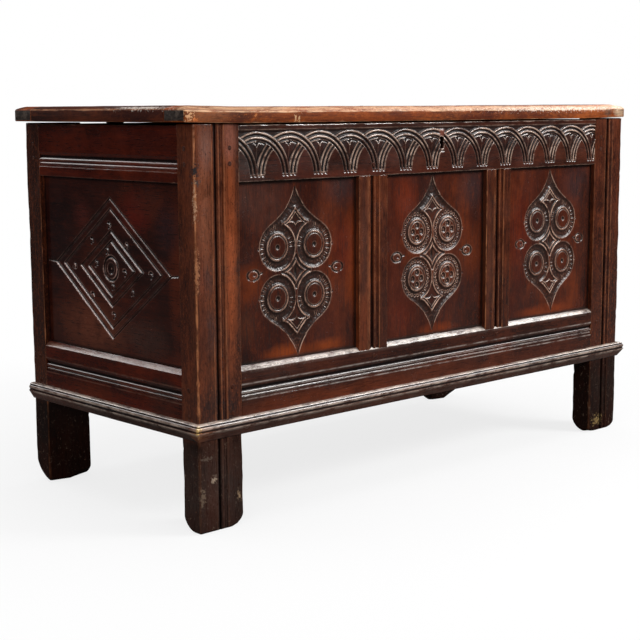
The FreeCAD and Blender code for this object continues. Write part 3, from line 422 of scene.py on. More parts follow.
ARCH_BAND = [               # radius and depth: three fillets with two grooves between
    (55.0, 0.5), (56.3, 0.15), (57.6, 0.25), (59.0, 2.4), (61.8, 2.6), (63.2, 0.2), (65.6, 0.2),
    (67.0, 2.6), (70.4, 2.6), (71.8, 0.1), (74.2, 0.1), (75.6, 2.9),
]


def arch_place(u):
    """The number of the arch's foot to the left of a place, and the distance from that foot."""
    drift = ARCADE_DRIFT * np.sin(np.pi * (u - ARCH_FIRST_FOOT) / ARCADE_LENGTH)
    q = (u - drift - ARCH_FIRST_FOOT) / ARCH_PITCH
    return np.floor(q), (q - np.floor(q)) * ARCH_PITCH


def arcade(u, v):
    """Depth of the interlaced arches, their gouged eyes and the stops at their feet."""
    foot, right = arch_place(u)
    left = ARCH_PITCH - right
    lean = 0.8 * (lattice_noise(foot, foot * 0, 11) - 0.5)
    h = v - ARCH_FOOT_HEIGHT - lean
    over, under = np.hypot(right, h), np.hypot(left, h)

    def eye(x):
        wings = EYE_HEIGHT + EYE_RISE * np.sqrt(unit(1 - ((np.abs(x) - EYE_HALF) / EYE_HALF) ** 2))
        below = ramp(wings - h, 1.4)
        stem = 1.0 * hump(x, 3.0) * unit((h - 18) / 30)
        floor = 1.5 + 0.9 * unit(np.abs(x) / 14) - stem
        return 3.3 * (1 - below) + np.maximum(floor, 0.35 + (wings - h) * 0.12 * (wings > h)) * below

    arch_ground = (0.35 + 0.12 * rough_noise(u / 12, v / 18, 7)) * ramp(h - 14.0, 22.0)
    outside_over, inside_over = over > ARCH_OUTER, over < ARCH_LINE
    outside_under, inside_under = under > ARCH_OUTER, under < ARCH_LINE
    depth = follow(over, ARCH_BAND)
    under_depth = follow(under, ARCH_BAND) + PASSED_UNDER
    depth = np.where(inside_over & outside_under, np.maximum(eye(right), 0), depth)
    depth = np.where(inside_over & inside_under, arch_ground, depth)
    depth = np.where(inside_over & ~inside_under & ~outside_under, under_depth, depth)
    depth = np.where(outside_over & outside_under, SPANDREL_DEPTH, depth)
    depth = np.where(outside_over & inside_under, eye(-left), depth)
    depth = np.where(outside_over & ~inside_under & ~outside_under, under_depth, depth)
    lowest = (over > LOWEST_GROOVE[0]) & (over < LOWEST_GROOVE[1]) & outside_under
    depth = np.where(lowest, LOWEST_DEPTH, depth)
    stops = STOP_HEIGHT + 0.7 * (lattice_noise(u / 4.5, v * 0, 31) - 0.5)
    depth = depth * ramp(h - stops, 1.6)
    near_foot = np.minimum(right, left)
    tick = np.abs(np.mod(near_foot, NICK_PITCH) - NICK_PITCH / 2)
    nicks = vee(np.hypot(tick * 0.75, (h + 0.6) * 1.5), 5.4, 1.3) * (near_foot < NICK_REACH)
    depth = np.maximum(depth, nicks) * ramp(ARCADE_TOP - 2.0 - v, 1.2)
    return depth + vee(v - ARCADE_TOP + 0.9, 2.2, 1.6)


def arcade_rubbing_and_highlight(u, v):
    """How pale the arches' edges are rubbed, with painted highlights: palest on the crowns and on the lower
    limbs at their feet.
    """
    h = v - ARCH_FOOT_HEIGHT
    over = np.hypot(arch_place(u)[1], h) > ARCH_LINE - 3.0
    crown = 0.25 + 0.75 * ramp(h - 40.0, 30.0)
    foot = 0.95 - 0.4 * ramp(h - 35.0, 20.0)
    edge = np.where(v > ARCADE_TOP - 3.0, 0.55, 1.0)
    return np.where(over, crown, foot) * edge * (0.75 + 0.5 * lattice_noise(u / 60, v / 40, 71))


def top_rail_carving(u, v):
    """The arcade, with the keyhole and the patch that keys have worn above it."""
    x, z = u - KEYHOLE[0], v - KEYHOLE[1]
    worn_patch = np.exp(-((x / 8.5) ** 4) - ((z - 13.0) / 7.5) ** 4)
    depth = arcade(u, v) * (1 - worn_patch) + 1.1 * worn_patch
    scratch = path_distance(u, v, [(-3.0, 636.0), (4.0, 640.0), (14.0, 641.0)])
    depth += vee(scratch, 2.4, 1.2)
    slot = np.maximum(np.abs(x) - KEYHOLE_SLOT, np.maximum(z, -KEYHOLE_DROP - z))
    hole = np.minimum(np.hypot(x, z) - KEYHOLE_RADIUS, slot)
    depth += 0.8 * ramp(1.6 - hole, 2.0)
    return np.where(hole < 0, RAIL_THICKNESS - 1.5, depth)


# The front panels: four roundels in an outline that is drawn out to a point above and below. Distances
# are from the middle of the device, which is alike in its four quarters but for the points' drift.
ROUNDEL = (43.9, 45.5)      # to the middle of a roundel
ROUNDEL_OUTER = 43.0
ROUNDEL_RING = 22.9
TIP = 155.0
TIP_JOIN = (65.0, 83.8)     # where the drawn-out point meets a roundel
HOOD_TIP, HOOD_END = 112.0, (30.2, 86.2)
HOOD = [(0.0, HOOD_TIP), (9.0, 102.0), (20.0, 91.5), HOOD_END]
MOUTH = (math.radians(61), math.radians(109))       # where a roundel's hollow runs up into the point
DEVICE_OUTLINE = bezier((0, TIP), (10.0, 117.0), (40.0, 98.0), TIP_JOIN)    # from the point to a roundel
BAND_DEPTH = 2.8            # of the hollow round the roundels
RAYS = 13                   # in half a turn of a roundel
RAY_ENDS = (31.0, 40.5)     # distances from the roundel's middle, as are the next two
DOT_CIRCLE, PETAL_CIRCLE = 34.0, 12.0
WING_HEIGHT, WING_RISE, WING_HALF = 81.0, 7.0, 12.5     # the two round wings under a hood
CURL_PLACE, CURL_HALF = 101.0, (13.0, 9.0)
LINE_CUT = [(0.0, 0.0), (0.9, 0.1), (2.0, 1.9), (40.0, 1.9)]        # distance from an edge, and depth
TWIN_CUT = LINE_CUT[:3] + [(3.6, 1.9), (4.6, 0.2), (5.7, 0.2), (6.9, 1.9), (40.0, 1.9)]
STAR_CUT = LINE_CUT[:3] + [(5.2, 2.1), (7.0, 0.2), (9.0, 0.2), (11.0, 2.1), (20.0, 2.4)]


def trough(distance, reach, depth):
    """Depth of a hollow at a distance from its edge: steep at the edge, level after reach."""
    return depth * (1 - (1 - unit(distance / reach)) ** 2)


def panel_device(u, v, centre, points, petals):
    """Depth of the carving on a front panel.

    points says how far the upper and the lower point stand to the right of the middle; petals gives
    four-petalled roundels with punched dots in place of plain ones with gouged rays.
    """
    x, z = u - centre[0], v - centre[1]
    az = np.abs(z)
    drift = np.where(z > 0, points[0], points[1]) * unit((az - 55.0) / 100.0) ** 1.5
    ax = np.abs(x - drift)
    round_x, round_z = ax - ROUNDEL[0], az - ROUNDEL[1]
    r = np.hypot(round_x, round_z)
    beyond = r - ROUNDEL_OUTER              # negative on a roundel
    half_width = np.interp(az, DEVICE_OUTLINE[::-1, 1], DEVICE_OUTLINE[::-1, 0])
    from_outline = path_distance(ax, az, DEVICE_OUTLINE)
    in_point = (az > TIP_JOIN[1]) & (az < TIP) & (ax < half_width)
    in_corner = (az > ROUNDEL[1]) & (az <= TIP_JOIN[1]) & (ax < TIP_JOIN[0]) & (beyond > 0)
    under_hood = (follow(ax, HOOD) - az) * 0.76
    angle = np.arctan2(round_z, round_x)
    mouth = (angle > MOUTH[0]) & (angle < MOUTH[1])
    core = (beyond > 0) & (ax < ROUNDEL[0]) & (under_hood > 0) & (az < HOOD_TIP)
    above = (in_point | in_corner) & ~core & (beyond > 0)

    # the hollow band round the roundels and up into the points
    arc_ends = np.minimum(*(
        np.hypot(round_x - ROUNDEL_OUTER * math.cos(end), round_z - ROUNDEL_OUTER * math.sin(end))
        for end in MOUTH
    ))
    to_circle = np.where(mouth, arc_ends, np.abs(beyond))
    outer_gap = np.minimum(to_circle, np.minimum(from_outline, path_distance(ax, az, HOOD)))
    inner_gap = r - ROUNDEL_RING - 1.4
    band = (beyond < 0) | above
    depth = trough(outer_gap - 1.0, 6.5, 1.0) * trough(inner_gap, 5.0, 1.0) * BAND_DEPTH * band
    chatter = rough_noise(angle * 14, r / 3.5, 41, 2)
    depth += 0.55 * chatter * band * (depth > 1.2)

    # ring and disc of each roundel
    disc = (r < ROUNDEL_RING + 1.6) & (beyond < 0)
    ring = vee(r - ROUNDEL_RING + 2.4, 2.4, 1.0) + 0.1
    depth = np.where(disc, ring, depth)
    spoke = np.abs(np.mod(angle * RAYS / np.pi + 0.5, 1.0) - 0.5) * np.pi / RAYS * r
    if petals:
        turn = np.mod(angle + np.pi / 4, np.pi / 2) - np.pi / 4
        petal = np.hypot(r * np.cos(turn) - PETAL_CIRCLE, r * np.sin(turn))
        bowl = 2.6 * unit(1 - (petal / 6.4) ** 2) ** 0.7 - 1.4 * hump(petal, 1.9)
        depth += bowl * (r < 20.5)
        dot = np.hypot(spoke, r - DOT_CIRCLE)
        depth += (1.7 * hump(dot, 1.5) - 0.6 * hump(dot - 2.8, 1.0)) * (beyond < 0)
    else:
        depth += 2.4 * unit(1 - (r / 4.8) ** 2) * (beyond < 0)
        ray = vee(spoke, 2.4, 1.2) * ramp(r - RAY_ENDS[0], 1.6) * ramp(RAY_ENDS[1] - r, 1.6)
        depth += ray * (beyond < 0) * (rough_noise(angle * 2.2, az * 0, 17, 1) > -0.05)

    # star, throats and hoods between the roundels
    wings = WING_HEIGHT + WING_RISE * np.sqrt(unit(1 - ((ax - WING_HALF) / WING_HALF) ** 2))
    wing_line = hump(az - wings, 1.1) * (under_hood > 2.0) * (beyond > 2.0)
    roof = np.where(az > wings, follow(under_hood, TWIN_CUT), follow(under_hood, LINE_CUT))
    throat = np.minimum(follow(beyond, LINE_CUT), roof) * (1 - 0.9 * wing_line)
    hollow = np.where(
        az < ROUNDEL[1],
        follow(beyond, STAR_CUT) * ramp(31.0 - az, 3.0) * ramp(35.0 - ax, 3.0),
        throat * ramp(az - 50.5, 3.0),
    )
    depth = np.where(core, hollow, depth)
    depth += 2.2 * np.exp(-((ax / 3.0) ** 2 + (az / 8.0) ** 2))
    saddle = np.hypot(ax, az - ROUNDEL[1] - 1.0)
    depth -= 0.8 * hump(saddle, 2.6) * (beyond > -2)

    # the point's tip, pads beside the roundels, and the curls at mid height
    pad = np.hypot(ax - ROUNDEL[0] - ROUNDEL_OUTER - 0.8, az - ROUNDEL[1] + 1.5)
    depth += 1.3 * hump(pad, 1.7)
    curl_x = ax - CURL_PLACE
    curl = (np.hypot(curl_x / CURL_HALF[0], z / CURL_HALF[1]) - 1.0) * 10.0
    turned = np.abs(np.arctan2(z, curl_x))
    closed = 1.0 if petals else 0.35 + 0.65 * ramp(np.abs(turned - 1.1) - 0.5, 0.4)
    depth += vee(curl, 3.6, 1.7) * closed * (beyond > 3)
    depth += 1.3 * np.exp(-(((curl_x + 3.0) / 4.5) ** 2) - (z / 2.2) ** 2) * (beyond > 3)
    stem = path_distance(ax, z, [(80.0, 3.0), (88.0, 1.0)])
    depth += vee(stem, 2.6, 1.2)
    return np.maximum(depth, trough(from_outline - 0.3, 2.4, 2.0) * in_point * (az > 116.0))


# The end panels: lozenges within lozenges round a small roundel.
LOZENGE_HALF = (179.0, 127.5)
LOZENGE_CENTRE = (-0.5, 438.5)
LOZENGE_LINES = (1.0, 0.85, 0.54, 0.397)
NAVEL_RING, NAVEL_RADIUS = 21.5, 11.0      # the ring and the hollow in the middle of a lozenge
GOUGE_BEND = 6.5            # radius that a gouge cut is bent to
GOUGES = [                  # middle of each pair of gouge cuts, from the middle of the lozenge
    (-59.5, 49.0), (50.5, 44.5), (-62.5, -52.0), (65.5, -38.0), (-4.0, 80.5), (4.5, -83.5), (-117.5, -3.0),
    (120.5, -0.5), (-46.0, 7.5), (5.5, -32.0), (41.5, -2.5), (-10.0, 32.0),
]


def lozenge_rubbing_and_highlight(u, v):
    """Pale rubbing with a painted highlight: strong where a side runs down to the right, hardly any where it
    runs up.
    """
    x, z = u - LOZENGE_CENTRE[0], v - LOZENGE_CENTRE[1]
    falling = np.where(z > 0, 0.7, 1.0)
    return np.where((x * z > 0) | (np.hypot(x, z) < 26.0), falling, 0.2)


def lozenge(u, v):
    """Depth of the lozenges' lines, the roundel in their middle and the gouge cuts between them."""
    x, z = u - LOZENGE_CENTRE[0], v - LOZENGE_CENTRE[1]
    share = np.abs(x) / LOZENGE_HALF[0] + np.abs(z) / LOZENGE_HALF[1]
    to_mm = 1 / math.hypot(1 / LOZENGE_HALF[0], 1 / LOZENGE_HALF[1])
    falling = x * z > 0         # the two sides that run down to the right
    depth = np.zeros_like(u)
    for line in LOZENGE_LINES:
        across = (share - line) * to_mm
        faint = (z > 0) & (line > 0.7)
        width = np.where(falling, np.where(faint, 4.0, 5.2), 3.0)
        cut_depth = np.where(falling, np.where(faint, 1.6, 2.6), 2.0)
        depth = np.maximum(depth, vee(across, width, cut_depth))
        depth = np.maximum(depth, vee(across + 3.4, 1.8, 0.9) * ~falling)
    depth += 0.3 * ramp((1.0 - share) * to_mm, 3.0)
    for sign, length in ((-1, 28.0), (1, 19.0)):
        tail = [(sign * LOZENGE_HALF[0], 0.0), (sign * (LOZENGE_HALF[0] + length), 2.0)]
        depth = np.maximum(depth, vee(path_distance(x, z, tail), 3.4, 1.6))
    r = np.hypot(x + 1.5, z)
    depth = np.maximum(depth, vee(r - NAVEL_RING, 5.6, 2.8))
    depth += 3.0 * unit(1 - (r / NAVEL_RADIUS) ** 2) ** 0.8 - 1.6 * hump(r, 3.0)
    for i, (mx, mz) in enumerate(GOUGES):
        turn = 0.75 + 0.5 * math.sin(i * 2.4)
        qx = (x - mx) * math.cos(turn) - (z - mz) * math.sin(turn)
        qz = (x - mx) * math.sin(turn) + (z - mz) * math.cos(turn)
        bow = np.hypot(qx, qz + 4.0) - GOUGE_BEND
        depth = np.maximum(depth, vee(bow, 4.6, 2.8) * ramp(6.0 - np.abs(qx), 2.0) * (qz > -2.0))
        nick = np.hypot((qx - 2.0) / 1.2, qz + 6.5)
        depth = np.maximum(depth, 2.0 * unit(1 - (nick / 3.0) ** 2))
    return depth


# ---- materials
def rgba(colour):
    """A colour written as eight-bit sRGB, as the shader wants it."""
    linear = [((c / 255 + 0.055) / 1.055) ** 2.4 if c > 10 else c / 255 / 12.92 for c in colour]
    return (*linear, 1.0)


class Nodes:
    """Short ways to add nodes to a shader tree. A value is a number or another node's output."""

    def __init__(self, tree):
        self.tree = tree

    def feed(self, target, source):
        if isinstance(source, bpy.types.NodeSocket):
            self.tree.links.new(source, target)
        else:
            target.default_value = source

    def add(self, kind, links=(), **settings):
        """A node of a kind, with its settings and the values for its inputs."""
        node = self.tree.nodes.new("ShaderNode" + kind)
        for key, value in settings.items():
            setattr(node, key, value)
        for socket, source in dict(links).items():
            self.feed(node.inputs[socket], source)
        return node

    def between(self, value, low, high, to_low=0.0, to_high=1.0):
        """The value stretched from one range to another and clamped."""
        ranges = {"Value": value, "From Min": low, "From Max": high, "To Min": to_low, "To Max": to_high}
        return self.add("MapRange", ranges).outputs["Result"]

    def maths(self, operation, first, second):
        return self.add("Math", {0: first, 1: second}, operation=operation).outputs["Value"]

    def plus(self, first, second):
        return self.maths("ADD", first, second)

    def minus(self, first, second):
        return self.maths("SUBTRACT", first, second)

    def times(self, first, second):
        return self.maths("MULTIPLY", first, second)

    def vector(self, operation, first, second=(0, 0, 0)):
        return self.add("VectorMath", {0: first, 1: second}, operation=operation).outputs

    def mixed(self, factor, first, second):
        return self.add("Mix", {0: factor, 6: first, 7: second}, data_type="RGBA").outputs[2]

    def attribute(self, name):
        return self.add("Attribute", attribute_name=name).outputs["Fac"]


class Material(Nodes):
    """A material in the making, with its colour so far."""

    def __init__(self, name, grain="x"):
        self.material = bpy.data.materials.new(name)
        self.material.use_nodes = True
        super().__init__(self.material.node_tree)
        self.shader = self.tree.nodes["Principled BSDF"]
        self.coords = self.add("TexCoord").outputs["Object"]
        self.grain = grain
        self.colour = None

    def noise(self, along, scale, detail=4.0, roughness=0.55, distortion=0.0):
        """Noise whose coordinates are scaled by along in the direction of the grain."""
        stretch = [along if axis == self.grain else 1.0 for axis in "xyz"]
        mapping = self.add("Mapping", {"Vector": self.coords, "Scale": stretch})
        return self.add("TexNoise", {
            "Vector": mapping.outputs["Vector"], "Scale": scale, "Detail": detail,
            "Roughness": roughness, "Distortion": distortion,
        }).outputs["Fac"]

    def start(self, factor, first, second):
        self.colour = self.mixed(factor, rgba(first), rgba(second))

    def tint(self, factor, colour):
        self.colour = self.mixed(factor, self.colour, rgba(colour))

    def tint_patches(self, patches, ragged, inner, outer):
        """Tints the colour round places, out to their reach along x, y and z, both in mm.

        A tint fades from the inner to the outer share of the reach, and ragged breaks up its edge.
        """
        for place_at, reach, tint, strength in patches:
            offset = self.vector("SUBTRACT", self.coords, [v * MM for v in place_at])[0]
            scaled = self.vector("DIVIDE", offset, [v * MM for v in reach])[0]
            distance = self.plus(self.vector("LENGTH", scaled)["Value"], ragged)
            self.tint(self.between(distance, outer, inner, 0.0, strength), tint)

    def finish(self, height, bump, bump_distance, **inputs):
        """Feeds the shader with the colour, the relief of a height and the inputs named."""
        relief = self.add("Bump", {"Strength": bump, "Distance": bump_distance, "Height": height})
        self.feed(self.shader.inputs["Base Color"], self.colour)
        self.feed(self.shader.inputs["Normal"], relief.outputs["Normal"])
        for name, source in inputs.items():
            self.feed(self.shader.inputs[name.replace("_", " ")], source)
        return self.material


LEG_SHADE = (0.185, 0.155)    # metres: painted shade on the legs starts below the first and is darkest below the second


def oak(name, grain, dark, middle, light, worn, deep=(34, 20, 18), grime_and_shade=(7, 4, 4), gloss=0.2, shine=0.5,
        legs=False, specks=0.0, bump=0.25, streaks=0.45, flecks=0.4, figure_scale=22.0, matte_wear=False,
        patches=(), scars_and_highlights=()):
    """Old waxed oak with its grain along x, y or z.

    light glows through the middle tone in cloudy areas and deep darkens it in others.
    """
    wood = Material(name, grain)
    between, times, plus, minus = wood.between, wood.times, wood.plus, wood.minus
    tone = wood.noise(0.45, 7.0, 5.0, 0.62, 0.7)
    gloom = wood.noise(0.6, 5.2, 4.0, 0.6, 0.4)
    figure = wood.noise(0.07, figure_scale, 8.0, 0.62, 0.9)
    fibres = wood.noise(0.035, 330.0, 4.0, 0.6)
    pores = between(wood.noise(0.06, 520.0, 2.0), 0.56, 0.68)
    patina = wood.noise(1.0, 16.0, 7.0, 0.66)
    wear_and_highlight, dirt_and_shade = wood.attribute("wear_and_highlight"), wood.attribute("grime_and_shade")

    wood.start(between(figure, 0.38, 0.62), dark, middle)
    wood.tint(between(tone, 0.48, 0.66, 0.0, 0.75), light)
    wood.tint(between(gloom, 0.53, 0.68, 0.0, 0.75), deep)
    above = 1.0
    if legs:
        height = wood.add("SeparateXYZ", {"Vector": wood.coords}).outputs["Z"]
        below = between(height, *LEG_SHADE)
        above = minus(1.0, below)
        # painted shade low on the legs
        wood.tint(times(below, 0.9), (24, 16, 14))
    wood.tint_patches(patches, times(minus(patina, 0.5), 1.6), 0.35, 1.15)
    for pattern, amount in (
        (wood.noise(0.05, 150.0, 5.0, 0.7), streaks),
        (wood.noise(0.35, 80.0, 5.0, 0.7, 0.5), 0.35),
        (wood.noise(0.5, 260.0, 4.0, 0.8), flecks),
    ):
        wood.tint(times(between(pattern, 0.53, 0.70, 0.0, amount), above), light)
        wood.tint(between(pattern, 0.47, 0.30, 0.0, amount), dark)
    wood.tint(between(patina, 0.52, 0.30, 0.0, 0.6), dark)
    wood.tint(times(pores, 0.5), grime_and_shade)
    if specks:
        wood.tint(between(wood.noise(1.0, 170.0, 4.0, 0.75, 1.5), 0.68, 0.73, 0.0, specks), worn)
    rubbed = between(wood.noise(0.35, 75.0, 6.0, 0.75), 0.40, 0.56, 0.1, 1.0)
    rubbed = times(rubbed, plus(0.12, times(above, 0.88)))
    # rubbed wear, which on chamfers, mouldings and carved edges also paints highlights
    wood.tint(times(wear_and_highlight, rubbed), worn)
    # dirt and painted shade in hollows, keyholes and along panel borders
    wood.tint(times(dirt_and_shade, 0.9), grime_and_shade)
    if legs:
        chips = between(wood.noise(0.6, 190.0, 5.0, 0.8, 1.0), 0.60, 0.67, 0.0, 0.75)
        wood.tint(times(chips, below), (140, 118, 100))
    wood.tint_patches(scars_and_highlights, times(minus(wood.noise(1.0, 210.0, 5.0, 0.75), 0.46), 6.0), 0.7, 0.95)

    roughness = plus(between(patina, 0.3, 0.7, gloss - 0.05, gloss + 0.10), times(dirt_and_shade, 0.15))
    dulled = wood.maths("MAXIMUM", dirt_and_shade, wear_and_highlight) if matte_wear else dirt_and_shade
    specular = between(dulled, 0.0, 1.0, shine, 0.2)
    if legs:
        specular = times(specular, plus(0.3, times(above, 0.7)))
    height = minus(plus(times(figure, 0.35), times(fibres, 0.4)), times(pores, 0.3))
    height = plus(height, times(patina, 0.55))
    return wood.finish(height, bump, 0.0012, Roughness=roughness, Specular_IOR_Level=specular)


def end_grain(name, dark, light, blotches=(96, 74, 62), gloss=0.62):
    """Sawn or worn end grain: dark and specked, with fine rings."""
    wood = Material(name, "y")
    rings = wood.noise(0.25, 260.0, 5.0, 0.65, 1.2)
    blotch = wood.noise(1.0, 60.0, 5.0)
    wood.start(wood.between(rings, 0.35, 0.7), dark, light)
    wood.tint(wood.between(blotch, 0.5, 0.72, 0.0, 0.7), blotches)
    return wood.finish(rings, 0.8, 0.0015, Roughness=gloss, Specular_IOR_Level=0.08)


def forged_iron():
    metal = Material("forged_iron")
    hammer = metal.noise(1.0, 90.0, 4.0)
    rust = metal.noise(1.0, 230.0, 6.0, 0.7)
    metal.start(metal.between(rust, 0.5, 0.72), (46, 43, 41), (92, 54, 34))
    metal.tint(metal.between(hammer, 0.55, 0.75, 0.0, 0.6), (74, 71, 68))
    height = metal.plus(hammer, metal.times(rust, 0.35))
    roughness = metal.between(rust, 0.35, 0.7, 0.42, 0.78)
    return metal.finish(height, 0.6, 0.0012, Roughness=roughness, Metallic=0.75)


FRAME_TONES = dict(dark=(50, 20, 11), middle=(86, 38, 20), light=(136, 66, 34), worn=(208, 132, 86))
PANEL_TONES = dict(dark=(56, 22, 13), middle=(86, 34, 18), light=(124, 54, 23), worn=(226, 184, 160))
RAIL_TONES = dict(dark=(44, 19, 12), middle=(72, 33, 21), light=(104, 48, 27), worn=(200, 168, 148))
# its near-white worn tone paints the highlights on the moulding's beads
MOULDING_TONES_WITH_HIGHLIGHT = {**RAIL_TONES, "worn": (236, 214, 196)}
# its near-white worn tone paints the sheen of the bottom rail's chamfer and ridges
BOTTOM_RAIL_TONES_WITH_SHEEN = {**RAIL_TONES, "worn": (246, 232, 220)}
END_RAIL_TONES = dict(dark=(44, 11, 6), middle=(84, 24, 9), light=(112, 38, 14), worn=(140, 104, 88))
END_PANEL_TONES = dict(dark=(38, 12, 8), middle=(66, 23, 13), light=(88, 34, 17), worn=(206, 166, 152))
LID_TONES = dict(dark=(92, 36, 12), middle=(150, 68, 22), light=(192, 100, 38), worn=(226, 178, 136))
LID_CROSS_TONES = dict(dark=(42, 14, 7), middle=(80, 30, 13), light=(118, 52, 22), worn=(170, 116, 80))
PLAIN_TONES = dict(dark=(62, 40, 28), middle=(88, 60, 42), light=(112, 80, 56), worn=(140, 108, 82))

ORANGE, RUST, PLUM, INK = (128, 54, 18), (104, 34, 16), (62, 42, 42), (18, 12, 14)


def on_face(axis, at, depth, rows):
    """Patches on one face of the chest, which all have the same place and reach along an axis.

    A row has the place and the reach along the two other axes, the tint and the strength.
    """
    return [
        (np.insert((p, q), axis, at), np.insert((reach_p, reach_q), axis, depth), tint, strength)
        for p, q, reach_p, reach_q, tint, strength in rows
    ]


# Stains and faded places of the wood: place, reach, tint and strength.
FRAME_PATCHES = [
    ((-556, -261, 430), (70, 24, 330), (134, 76, 50), 0.5),
    ((-582, -261, 560), (16, 24, 170), (150, 88, 60), 0.8),
    ((-575, -261, 660), (18, 20, 45), (142, 98, 84), 0.75),
    ((-524, -261, 480), (14, 24, 230), (186, 94, 50), 0.8),
    ((-524, -261, 672), (16, 24, 40), (172, 106, 86), 0.85),
    ((-578, -261, 440), (18, 24, 34), (78, 54, 50), 0.75),
    ((-572, -261, 350), (22, 24, 40), (82, 58, 54), 0.7),
    ((-586, -261, 400), (8, 24, 120), (132, 66, 40), 0.6),
    ((-555, -261, 215), (70, 60, 55), (46, 34, 32), 0.85),
    ((-560, -235, 70), (90, 70, 110), (78, 63, 57), 0.75),
    ((-574, -261, 62), (16, 24, 64), (84, 54, 44), 0.6),
    ((560, -235, 100), (90, 70, 80), (46, 32, 27), 0.7),
    ((590, -261, 300), (26, 40, 120), (34, 20, 16), 0.7),
    ((560, -261, 450), (60, 30, 300), (58, 32, 25), 0.65),
    ((-600, 238, 460), (30, 60, 300), (44, 22, 15), 0.6),
]
BOTTOM_PATCHES = on_face(1, -261, 30, [
    (-500, 212, 46, 60, (54, 39, 33), 0.75),
    (-430, 236, 130, 14, (50, 37, 31), 0.8),
    (-300, 200, 240, 24, (118, 52, 24), 0.75),
    (100, 190, 260, 22, (100, 46, 24), 0.6),
    (-420, 262, 90, 12, (56, 40, 36), 0.7),
    (350, 205, 140, 26, (90, 40, 24), 0.6),
])
RAIL_PATCHES = [
    ((8, -261, 676), (10, 20, 9), (160, 88, 66), 0.95),
] + on_face(1, -261, 30, [
    (-490, 640, 34, 50, (66, 56, 52), 0.7),
    (-340, 655, 60, 40, (96, 52, 42), 0.5),
    (-200, 606, 260, 8, (96, 40, 24), 0.7),
    (-380, 640, 60, 40, (88, 44, 36), 0.6),
    (-150, 640, 90, 40, (84, 44, 34), 0.6),
    (80, 650, 90, 40, (86, 38, 26), 0.6),
    (240, 640, 60, 40, (60, 34, 32), 0.6),
    (400, 640, 70, 40, (84, 44, 28), 0.6),
])
MUNTIN_PATCHES = on_face(1, -261, 20, [
    (-205, 470, 16, 190, (80, 44, 32), 0.9),
    (-205, 330, 18, 50, (130, 60, 30), 0.7),
    (152, 430, 14, 160, (110, 62, 42), 0.6),
    (205, 560, 14, 80, (70, 34, 20), 0.5),
])
PANEL_PATCHES = on_face(1, -251, 30, [
    (-228, 440, 22, 110, ORANGE, 0.9),
    (-480, 420, 44, 44, ORANGE, 0.75),
    (-392, 292, 60, 17, (150, 66, 20), 0.85),
    (-290, 294, 44, 15, (150, 66, 20), 0.8),
    (-250, 470, 36, 60, RUST, 0.7),
    (-490, 575, 30, 44, (82, 52, 44), 0.8),
    (-250, 580, 60, 34, PLUM, 0.7),
    (-440, 560, 60, 60, (92, 56, 46), 0.6),
    (-488, 292, 30, 22, INK, 0.6),
    (-485, 350, 30, 40, (92, 46, 26), 0.6),
    (-232, 320, 30, 52, INK, 0.7),
    (-82, 550, 34, 60, (128, 48, 22), 0.8),
    (106, 440, 40, 60, ORANGE, 0.5),
    (10, 290, 60, 14, (140, 58, 20), 0.75),
    (110, 565, 44, 48, PLUM, 0.8),
    (-95, 330, 40, 40, RUST, 0.5),
    (120, 310, 30, 40, (30, 16, 14), 0.6),
    (262, 460, 40, 100, RUST, 0.7),
    (350, 293, 95, 13, (142, 60, 22), 0.8),
    (455, 560, 60, 60, PLUM, 0.85),
    (450, 400, 50, 60, (60, 28, 22), 0.6),
    (490, 320, 24, 60, INK, 0.7),
    (485, 460, 32, 150, (44, 24, 19), 0.7),
])
END_PATCHES = on_face(0, -590, 30, [
    (170, 480, 90, 130, (30, 13, 14), 0.9),
    (90, 530, 30, 30, (96, 40, 32), 0.7),
    (-80, 545, 50, 40, (112, 26, 14), 0.7),
    (60, 325, 130, 58, (118, 62, 42), 0.9),
    (-95, 320, 80, 40, (78, 50, 42), 0.75),
    (-195, 430, 24, 150, (104, 42, 20), 0.75),
    (-120, 560, 70, 30, (84, 34, 20), 0.7),
    (-170, 520, 40, 50, (50, 32, 36), 0.7),
    (0, 440, 60, 40, (44, 24, 20), 0.6),
])
END_RAIL_PATCHES = on_face(0, -600, 30, [
    (-160, 236, 62, 20, (58, 44, 39), 0.75),
    (-165, 204, 56, 24, (60, 34, 25), 0.6),
    (60, 206, 100, 18, (112, 44, 18), 0.5),
])
LID_PATCHES = [
    ((-570, -267, 712), (52, 30, 14), (168, 108, 70), 0.65),
    ((-500, -267, 712), (30, 20, 14), (60, 30, 20), 0.7),
    ((580, -267, 716), (24, 40, 22), (226, 196, 160), 0.9),
    ((540, -267, 712), (18, 30, 14), (84, 78, 66), 0.7),
]
MOULDING_PATCHES = [
    ((-604, -273, 180), (26, 26, 22), (176, 100, 54), 0.85),
    ((0, -273, 172), (700, 30, 14), (98, 50, 33), 0.7),
    ((-250, -273, 170), (200, 30, 16), (112, 58, 34), 0.5),
]

